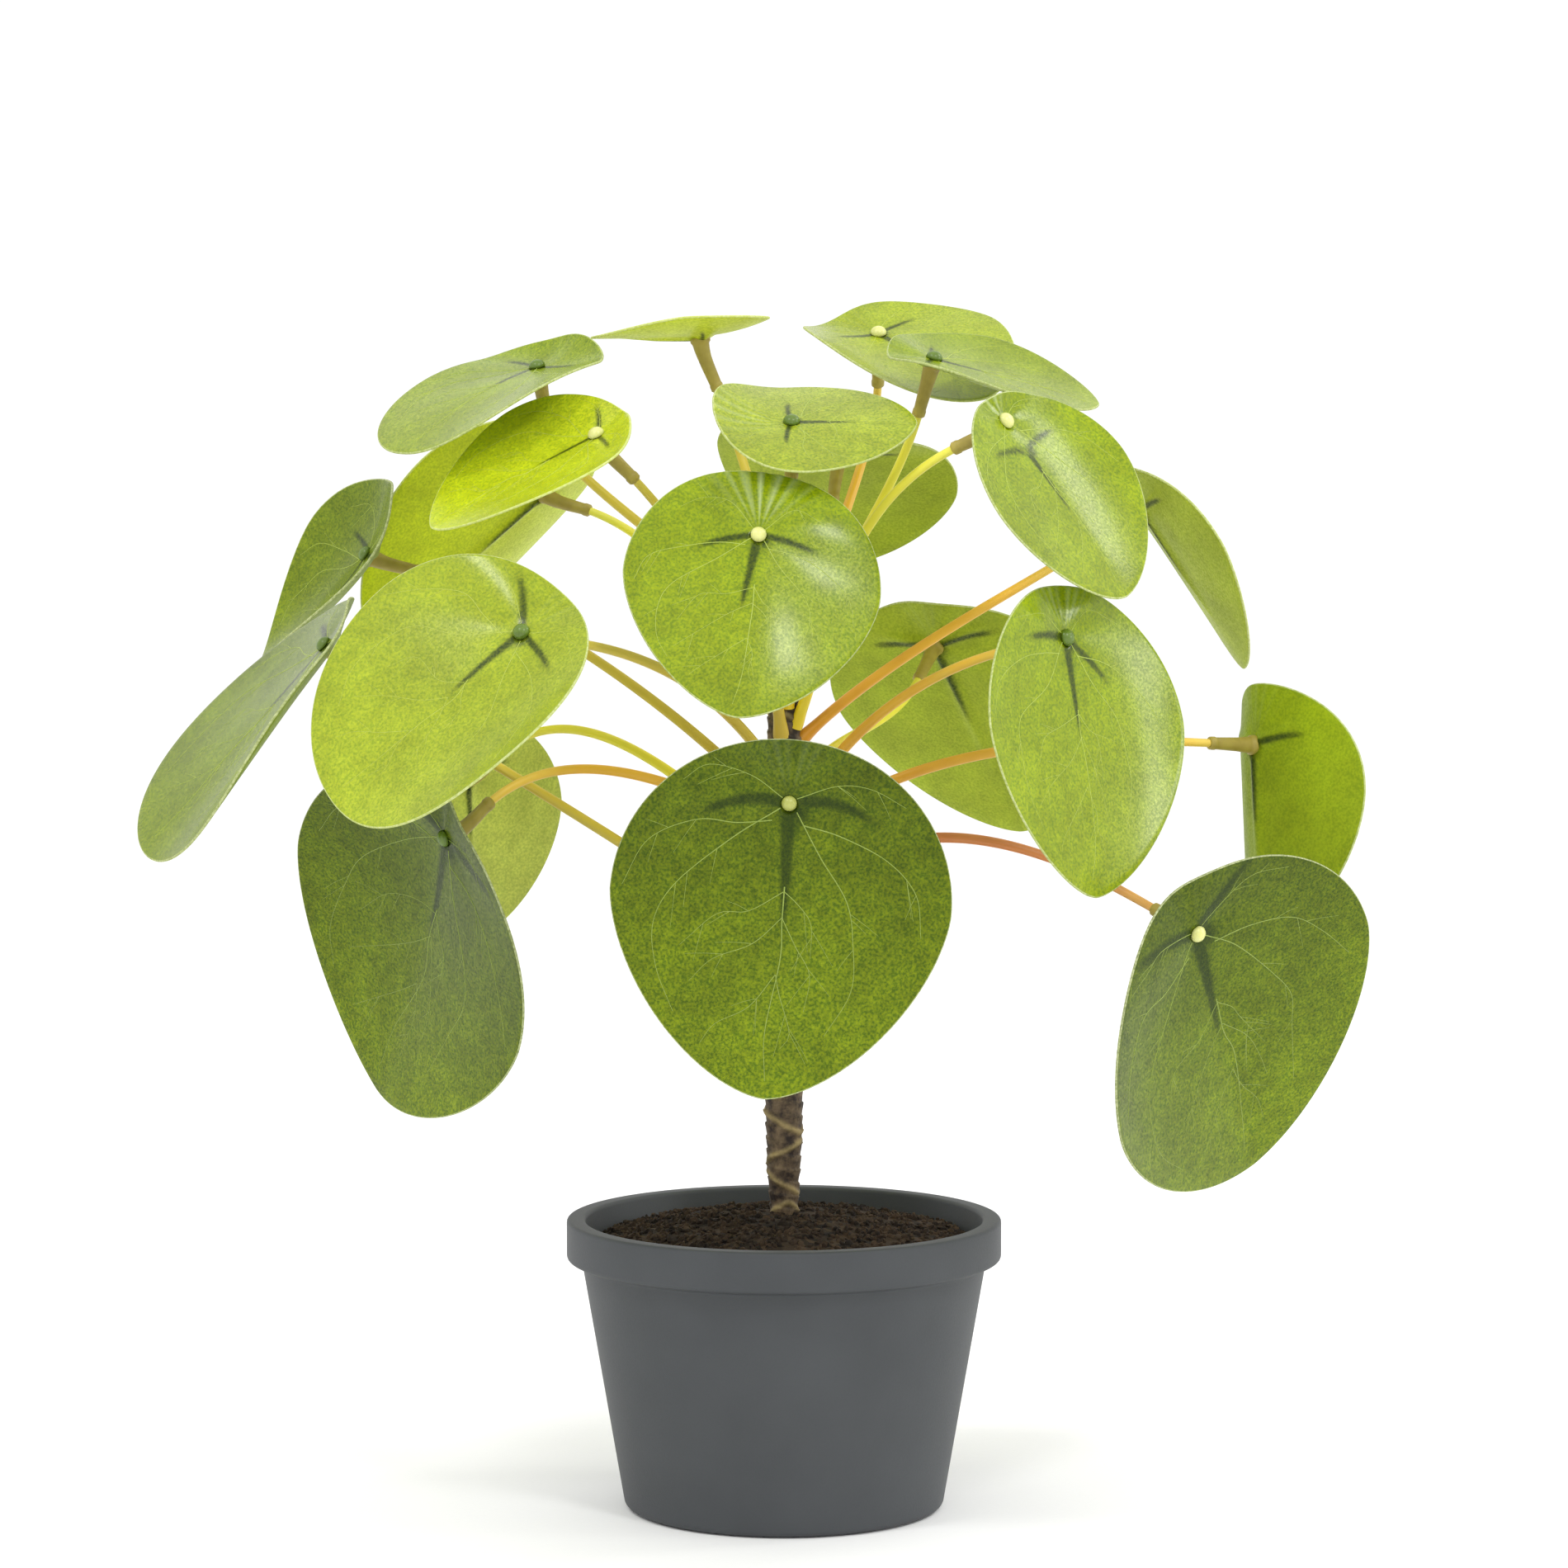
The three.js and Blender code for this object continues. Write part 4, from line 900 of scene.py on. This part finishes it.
def make_blade(name, leaf, finishes):
    """A blade: each ray from the hole runs out over the front, round the edge and back behind."""
    turn = np.linspace(0, 2 * np.pi, BLADE_SIDES, endpoint=False)
    edge_x, edge_y = blade_edge(leaf, turn)
    reach = np.hypot(edge_x, edge_y)
    inner, outer = BLADE_HOLE, reach - HALF_BLADE - BLADE_TRIM
    stations = [(inner + (outer - inner) * s, HALF_BLADE, FRONT)
                for s in np.linspace(0, 1, FRONT_RINGS)]
    stations += [(outer + HALF_BLADE * math.cos(math.radians(a)),
                  HALF_BLADE * math.sin(math.radians(a)), EDGE) for a in EDGE_STEPS]
    stations += [(inner + (outer - inner) * s, -HALF_BLADE, BACK)
                 for s in np.linspace(1, 0, BACK_RINGS)]
    points, marks, shades = [], {"painted_rib_shade": [], "pleat": []}, []
    top, tip = (np.array(linear(shade)) for shade in PRINT_SHADES[name])
    for along, offset, kind in stations:
        x, y = edge_x * along / reach, edge_y * along / reach
        middle, normal = blade_surface(leaf, x, y)
        share = (along - inner) / (reach - inner)
        pleat, relief = pressed_relief(name, x, y, share)
        lift = offset + relief
        if kind == BACK:
            for rib in RIB_TURNS:
                t = math.radians(rib)
                ahead = x * math.sin(t) - y * math.cos(t) > 0
                off = np.abs(x * math.cos(t) + y * math.sin(t))
                fade = np.interp(share, *RIB_FADE)
                lift = lift - RIB_HEIGHT * fade * np.exp(-(off / RIB_HALF_WIDTH) ** 2) * ahead
        points.append(middle + normal * np.asarray(lift)[..., None])
        # Where shade is painted dark along the ribs and beside the knob.
        marks["painted_rib_shade"].append(rib_shade_marks(name, leaf, x, y))
        # Where a highlight is painted pale on the crests of the pleats.
        marks["pleat"].append(np.clip(pleat, 0, 1))
        down = np.clip(leaf["hole"] - y / leaf["length"], 0, 1)[:, None]
        shades.append(top * (1 - down) + tip * down)
    rows = len(stations)
    faces, slots = [], []
    for i in range(rows):
        j = (i + 1) % rows
        kinds = {stations[i][2], stations[j][2]}
        slot = EDGE_SLOT if len(kinds) > 1 or EDGE in kinds else FACE_SLOTS[stations[i][2]]
        for k in range(BLADE_SIDES):
            n = (k + 1) % BLADE_SIDES
            here, next_row = i * BLADE_SIDES, j * BLADE_SIDES
            faces.append([here + k, next_row + k, next_row + n, here + n])
            slots.append(slot)
    piece = plain_piece(f"leaf_{name}", np.concatenate(points), faces, finishes, slots)
    for label, values in marks.items():
        layer = piece.data.attributes.new(label, "FLOAT", "POINT")
        layer.data.foreach_set("value", np.concatenate(values))
    layer = piece.data.attributes.new("shade", "FLOAT_COLOR", "POINT")
    layer.data.foreach_set("color", np.concatenate(shades).ravel())
    return piece


def print_cloth(name, brightness, contrast, roughness, gloss):
    """Polyester cloth printed green and coated. The print has leathery flecks of 0.5 mm over
    patches of 3 mm and clouds of 13 mm, and the coat follows the flecks. Painted shade darkens it
    along the ribs and beside the knob, and a painted highlight makes the pleat crests pale."""
    finish, tree, shader = new_finish(
        name, IOR=1.46, Specular_IOR_Level=0.16, Coat_Weight=gloss, Coat_Roughness=0.16,
        Subsurface_Weight=0.2, Subsurface_Radius=(0.8, 1.0, 0.25), Subsurface_Scale=0.5 * MM)
    place = add_node(tree, "ShaderNodeTexCoord").outputs["Object"]
    shade = add_node(tree, "ShaderNodeAttribute", attribute_name="shade").outputs["Color"]
    painted_rib_shade_here = add_node(tree, "ShaderNodeAttribute", attribute_name="painted_rib_shade").outputs["Fac"]
    pleat_here = add_node(tree, "ShaderNodeAttribute", attribute_name="pleat").outputs["Fac"]
    cloud = add_node(tree, "ShaderNodeTexNoise", {"Scale": 75, "Detail": 3, "Vector": place})
    patch = add_node(tree, "ShaderNodeTexNoise",
                     {"Scale": 330, "Detail": 3, "Roughness": 0.6, "Vector": place})
    fleck = add_node(tree, "ShaderNodeTexNoise",
                     {"Scale": 1900, "Detail": 2, "Roughness": 0.5, "Vector": place})
    pebble = add_node(tree, "ShaderNodeMapRange", {
        "From Min": 0.34, "From Max": 0.66, "Value": fleck.outputs["Fac"]}).outputs[0]
    clouds = add_node(tree, "ShaderNodeMapRange", {
        "From Min": 0.3, "From Max": 0.7, "To Min": 0.86 * brightness, "To Max": 1.14 * brightness,
        "Value": cloud.outputs["Fac"]}).outputs[0]
    patches = add_node(tree, "ShaderNodeMapRange", {
        "From Min": 0.3, "From Max": 0.7, "To Min": 1 - 0.16 * contrast,
        "To Max": 1 + 0.16 * contrast, "Value": patch.outputs["Fac"]}).outputs[0]
    clouded = add_node(tree, "ShaderNodeMath", {0: clouds, 1: patches},
                       operation="MULTIPLY").outputs[0]
    ink = add_node(tree, "ShaderNodeVectorMath",
                   {0: shade, 1: (1 - 0.42 * contrast, 1 - 0.32 * contrast, 1 - 0.36 * contrast)},
                   operation="MULTIPLY")
    bare = add_node(tree, "ShaderNodeVectorMath",
                    {0: shade, 1: (1 + 0.38 * contrast, 1 + 0.26 * contrast, 1 + 0.24 * contrast)},
                    operation="MULTIPLY")
    flecked = add_node(tree, "ShaderNodeMix", {0: pebble, 6: ink.outputs[0], 7: bare.outputs[0]},
                       data_type="RGBA")
    green = add_node(tree, "ShaderNodeVectorMath", {0: flecked.outputs[2], "Scale": clouded},
                     operation="SCALE")
    # A highlight painted pale on the pleat crests.
    pleat_highlight_share = add_node(tree, "ShaderNodeMath", {0: pleat_here, 1: 0.5},
                          operation="MULTIPLY").outputs[0]
    pale = add_node(tree, "ShaderNodeMix",
                    {7: linear("#cfdcab"), 0: pleat_highlight_share, 6: green.outputs[0]}, data_type="RGBA")
    # Painted shade along the ribs and beside the knob, broken up a little by the flecks.
    rib_shade_breakup = add_node(tree, "ShaderNodeMapRange", {
        "From Min": 0.3, "From Max": 0.6, "To Min": 1.0, "To Max": 0.8,
        "Value": fleck.outputs["Fac"]}).outputs[0]
    painted_rib_shade = add_node(tree, "ShaderNodeMath", {0: painted_rib_shade_here, 1: rib_shade_breakup},
                      operation="MULTIPLY").outputs[0]
    # The painted shade laid over the print and its painted highlight.
    printed = add_node(tree, "ShaderNodeMix", {7: linear("#28380a"), 0: painted_rib_shade, 6: pale.outputs[2]},
                       data_type="RGBA")
    rough = add_node(tree, "ShaderNodeMapRange",
                     {"To Min": roughness + 0.08, "To Max": roughness - 0.08, "Value": pebble})
    relief = add_node(tree, "ShaderNodeBump",
                      {"Strength": 0.5, "Distance": 0.07 * MM, "Height": fleck.outputs["Fac"]})
    tree.links.new(printed.outputs[2], shader.inputs["Base Color"])
    tree.links.new(rough.outputs["Result"], shader.inputs["Roughness"])
    tree.links.new(relief.outputs["Normal"], shader.inputs["Normal"])
    return finish


# The front carries the full print under a smooth coat, which is glossier on the lighter leaves.
# The back is paler and drier, and lighter still with painted light, standing in for the light
# that shines through the cloth. The cut edge shows the pale cloth as a thin line.
FRONT_PRINTS = {"old": (1.1, 0.04), "mid": (0.75, 0.2), "young": (0.6, 0.18)}  # contrast, gloss
front_finishes = {
    tone: print_cloth(f"coated_polyester_front_{tone}", 1.0, contrast, 0.3, gloss)
    for tone, (contrast, gloss) in FRONT_PRINTS.items()}
# The back's brightness of 1.15 is partly painted light, for light shining through the cloth.
back_finish = print_cloth("coated_polyester_back", 1.15, 0.45, 0.5, 0.04)
edge_finish, tree, shader = new_finish("cut_polyester_edge", Roughness=0.7, IOR=1.5)
shade = add_node(tree, "ShaderNodeAttribute", attribute_name="shade").outputs["Color"]
place = add_node(tree, "ShaderNodeTexCoord").outputs["Object"]
thread = add_node(tree, "ShaderNodeTexNoise", {"Scale": 1800, "Detail": 2, "Vector": place})
frayed = add_node(tree, "ShaderNodeMapRange", {
    "From Min": 0.3, "From Max": 0.7, "To Min": 0.15, "To Max": 0.6,
    "Value": thread.outputs["Fac"]})
tone = add_node(tree, "ShaderNodeMix", {7: linear("#dfe4b0"), 0: frayed.outputs[0], 6: shade},
                data_type="RGBA")
tree.links.new(tone.outputs[2], shader.inputs["Base Color"])

for name, leaf in LEAVES.items():
    blade = make_blade(name, leaf, [front_finishes[leaf["tone"]], back_finish, edge_finish])
    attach(blade, "root")
    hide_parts(f"blade_{name}")


# ---------------------------------------------------------------------------------------------
# The veins: pressed up as fine threads in the front of each blade by the hot mould, and left
# paler than the print between them. They run from the knob towards the edge and fork.

VEIN_START_RADIUS = 0.15
VEIN_END_RADIUS = 0.07
VEIN_STEP = 1.1
VEIN_SIDES = 6
VEIN_REACH = 0.94  # how near the edge they run, as a share of the way
VEIN_SUNK = 0.35  # share of its radius that a thread is sunk in the blade
VEIN_SCATTER = 0.7  # how far their points stray from one blade to the next
BRANCHES = 3  # on each vein but the midrib, each with its place, turn, reach and sag
BRANCH_PLACES = (0.3, 0.85)
BRANCH_TURNS = (25, 50)
BRANCH_REACH = (3.5, 7.5)
BRANCH_SAG = (0.3, 1.2)
VEIN_SIZES = {"midrib": 1.2, "main": 1.0, "small": 0.75, "branch": 0.5}
# The veins of a blade of the drawn length, with its knob this share below the top edge, as
# (across, down) from the knob in mm: the midrib, four main ones and the small ones.
DRAWN_HOLE = 0.18
MAIN_VEINS = [
    [(0.5, 16), (0.5, 23), (0.4, 30), (-0.5, 44), (-1, 53)],
    [(-1.6, 1), (-10, 8.5), (-20, 17), (-22.5, 25), (-22, 34), (-18.5, 42)],
    [(1.6, 1.6), (7, 9.5), (12.5, 17.7), (15, 26), (14.4, 34), (11.4, 43)],
    [(-3, 3.5), (-10, 4.2), (-18, 5.4), (-26, 9.5), (-30, 17)],
    [(3, 4), (11.3, 6.0), (19.2, 9.5), (24.5, 15.4), (28, 24)],
    [(-1.4, -1.0), (-8, -4.4), (-15, -5.2), (-21, -3.6)],
    [(1.4, -1.0), (8, -4.6), (15, -4.8), (22, -1.6)],
    [(0.4, 17), (-6, 20.5), (-13, 21.5), (-17, 28)],
    [(0.6, 17), (3.6, 20.5), (6, 23), (7.4, 31)],
    [(0.5, 22), (-5, 27), (-12, 32), (-17, 37)],
    [(0.5, 22), (3.6, 27.5), (5.6, 33.5), (6.6, 40)],
    [(0.2, 33), (-4.5, 38), (-10, 43), (-13, 47)],
    [(0.2, 33), (1.8, 38), (3, 43), (3.2, 48)],
]
VEIN_STRENGTH = {"old": 0.95, "mid": 0.7, "young": 0.6}  # how thick they are on each kind


def smooth_line(points, step):
    """A smooth line through the points, with a point every step or so."""
    points = np.asarray(points, float)
    ends = np.vstack([2 * points[0] - points[1], points, 2 * points[-1] - points[-2]])
    out = []
    for a, b, c, d in zip(ends, ends[1:], ends[2:], ends[3:]):
        count = max(2, int(np.linalg.norm(c - b) / step))
        t = np.linspace(0, 1, count, endpoint=False)[:, None]
        out.append(0.5 * (2 * b + (c - a) * t + (2 * a - 5 * b + 4 * c - d) * t ** 2
                          + (3 * b - a - 3 * c + d) * t ** 3))
    return np.vstack([*out, points[-1:]])


def vein_lines(name, leaf, seed):
    """The veins of one blade: the main ones, each a little different, and their side branches."""
    chance = np.random.default_rng(seed)
    half_width = leaf["length"] * BLADE_WIDTH / 2
    above = leaf["length"] * leaf["hole"]
    below = leaf["length"] - above
    flat = []
    for number, vein in enumerate(MAIN_VEINS):
        places = np.array(vein, float)
        places[1:] += chance.normal(0, VEIN_SCATTER, places[1:].shape)
        line = smooth_line(places, VEIN_STEP)
        kind = "midrib" if number == 0 else "main" if number < 5 else "small"
        flat.append((line, VEIN_SIZES[kind]))
        for place in chance.uniform(*BRANCH_PLACES, BRANCHES if number else 0):
            i = int(place * (len(line) - 2))
            ahead = line[i + 1] - line[i]
            turn = math.radians(chance.choice([-1, 1]) * chance.uniform(*BRANCH_TURNS))
            ahead = np.array([ahead[0] * math.cos(turn) - ahead[1] * math.sin(turn),
                              ahead[0] * math.sin(turn) + ahead[1] * math.cos(turn)])
            ahead /= np.linalg.norm(ahead)
            reach = chance.uniform(*BRANCH_REACH)
            sag = np.array([0, chance.uniform(*BRANCH_SAG)])
            branch = smooth_line([line[i], line[i] + ahead * reach / 2 + sag * 0.3,
                                  line[i] + ahead * reach + sag], VEIN_STEP)
            flat.append((branch, VEIN_SIZES["branch"]))
    edge_x, edge_y = blade_edge(leaf, np.linspace(0, 2 * np.pi, 721))
    edge_angle = np.arctan2(edge_x, -edge_y)
    order = np.argsort(edge_angle)
    edge_angle, edge_reach = edge_angle[order], np.hypot(edge_x, edge_y)[order]
    lines = []
    for line, size in flat:
        x = line[:, 0] / (DRAWN_LENGTH * BLADE_WIDTH / 2) * half_width
        drop = line[:, 1] / DRAWN_LENGTH
        y = -np.where(drop > 0, drop / (1 - DRAWN_HOLE) * below, drop / DRAWN_HOLE * above)
        share = np.hypot(x, y) / np.interp(np.arctan2(x, -y), edge_angle, edge_reach)
        inside = share < VEIN_REACH
        if not inside.all():
            last = int(np.argmin(inside))
            x, y, share = x[:last], y[:last], share[:last]
        if len(x) < 3:
            continue
        middle, normal = blade_surface(leaf, x, y)
        _, relief = pressed_relief(name, x, y, share)
        thinner = np.linspace(VEIN_START_RADIUS, VEIN_END_RADIUS, len(x))
        radii = thinner * size * VEIN_STRENGTH[leaf["tone"]]
        lines.append((middle + normal * (HALF_BLADE + relief - VEIN_SUNK * radii)[:, None], radii))
    return lines


# The same coated print on the raised threads, where the ink is rubbed thin and looks paler.
VEIN_COLOURS = {"old": ("#73872a", "#93a446"), "mid": ("#9db038", "#b0c254"),
                "young": ("#a9ba38", "#bac955")}
for tone_name, shades in VEIN_COLOURS.items():
    finish, tree, shader = new_finish(
        f"rubbed_print_vein_{tone_name}", IOR=1.5, Roughness=0.45, Subsurface_Weight=0.2,
        Subsurface_Radius=(0.8, 1.0, 0.25), Subsurface_Scale=0.5 * MM)
    place = add_node(tree, "ShaderNodeTexCoord").outputs["Object"]
    rubbed = add_node(tree, "ShaderNodeTexNoise", {"Scale": 350, "Detail": 3, "Vector": place})
    tone = add_node(tree, "ShaderNodeMix",
                    {6: linear(shades[0]), 7: linear(shades[1]), 0: rubbed.outputs["Fac"]},
                    data_type="RGBA")
    tree.links.new(tone.outputs[2], shader.inputs["Base Color"])
    lines = []
    for number, (name, leaf) in enumerate(LEAVES.items()):
        if leaf["tone"] == tone_name:
            lines += vein_lines(name, leaf, number)
    veins = grow(f"veins_{tone_name}", lines_mesh(f"veins_{tone_name}", lines), bar_tree,
                 {"Sides": VEIN_SIDES, "Material": finish})
    veins.data.shade_smooth()
    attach(veins, "root")
    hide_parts(*[f"blade_{n}" for n, leaf in LEAVES.items() if leaf["tone"] == tone_name])


# ---------------------------------------------------------------------------------------------
# The floor, the light and the camera: a plain white sheet, a bright even room with four soft
# boxes, whose reflections give the blades their sheen, and the view of the photograph.

FLOOR_SIZE = 9.0
FLOOR_DROP = 0.2  # how far below the pot's foot the sheet lies, in mm
VIEW_CENTRE = (0, 0, 0.150)
VIEW_DISTANCE = 1.0
VIEW_ELEVATION = 4
VIEW_FOCAL = 5882  # in pixels of the picture
PICTURE_WIDTH = 1900
SENSOR = 36
ROOM_BRIGHTNESS = 1.06
SOFT_BOXES = {  # place, size and power
    "key_right": ((0.8, -1.38, 1.62), 0.3, 9), "key_left": ((-0.95, -0.95, 1.8), 0.3, 8),
    "side_right": ((1.95, -0.3, 0.6), 0.3, 5), "back_right": ((1.5, 0.3, 1.4), 0.35, 5)}

floor_finish, tree, shader = new_finish("white_paper_sheet", Roughness=0.9, IOR=1.4)
place = add_node(tree, "ShaderNodeTexCoord").outputs["Object"]
pulp = add_node(tree, "ShaderNodeTexNoise", {"Scale": 900, "Detail": 2, "Vector": place})
tone = add_node(tree, "ShaderNodeMix",
                {6: linear("#f8f8f7"), 7: linear("#fcfcfb"), 0: pulp.outputs["Fac"]},
                data_type="RGBA")
tree.links.new(tone.outputs[2], shader.inputs["Base Color"])
half = FLOOR_SIZE / 2 / MM
corners = [[-half, -half], [half, -half], [half, half], [-half, half]]
floor = plain_piece("floor", [[x, y, -FLOOR_DROP] for x, y in corners], [[0, 1, 2, 3]],
                    [floor_finish])

scene = bpy.context.scene
scene.view_settings.view_transform = "Standard"
world = bpy.data.worlds.new("bright_room")
world.use_nodes = True
background = world.node_tree.nodes["Background"]
background.inputs["Color"].default_value = (1, 1, 1, 1)
background.inputs["Strength"].default_value = ROOM_BRIGHTNESS
scene.world = world
for label, (place, size, power) in SOFT_BOXES.items():
    light = bpy.data.lights.new(label, "AREA")
    light.size, light.energy = size, power
    lamp = bpy.data.objects.new(label, light)
    lamp.location = place
    lamp.rotation_euler = (Vector(VIEW_CENTRE) - Vector(place)).to_track_quat("-Z", "Y").to_euler()
    scene.collection.objects.link(lamp)

lens = bpy.data.cameras.new("camera")
lens.sensor_width, lens.lens = SENSOR, VIEW_FOCAL / PICTURE_WIDTH * SENSOR
camera = bpy.data.objects.new("camera", lens)
camera.location = Vector(VIEW_CENTRE) + Vector(direction(0, VIEW_ELEVATION)) * VIEW_DISTANCE
camera.rotation_euler = (math.radians(90 - VIEW_ELEVATION), 0, 0)
scene.collection.objects.link(camera)
scene.camera = camera
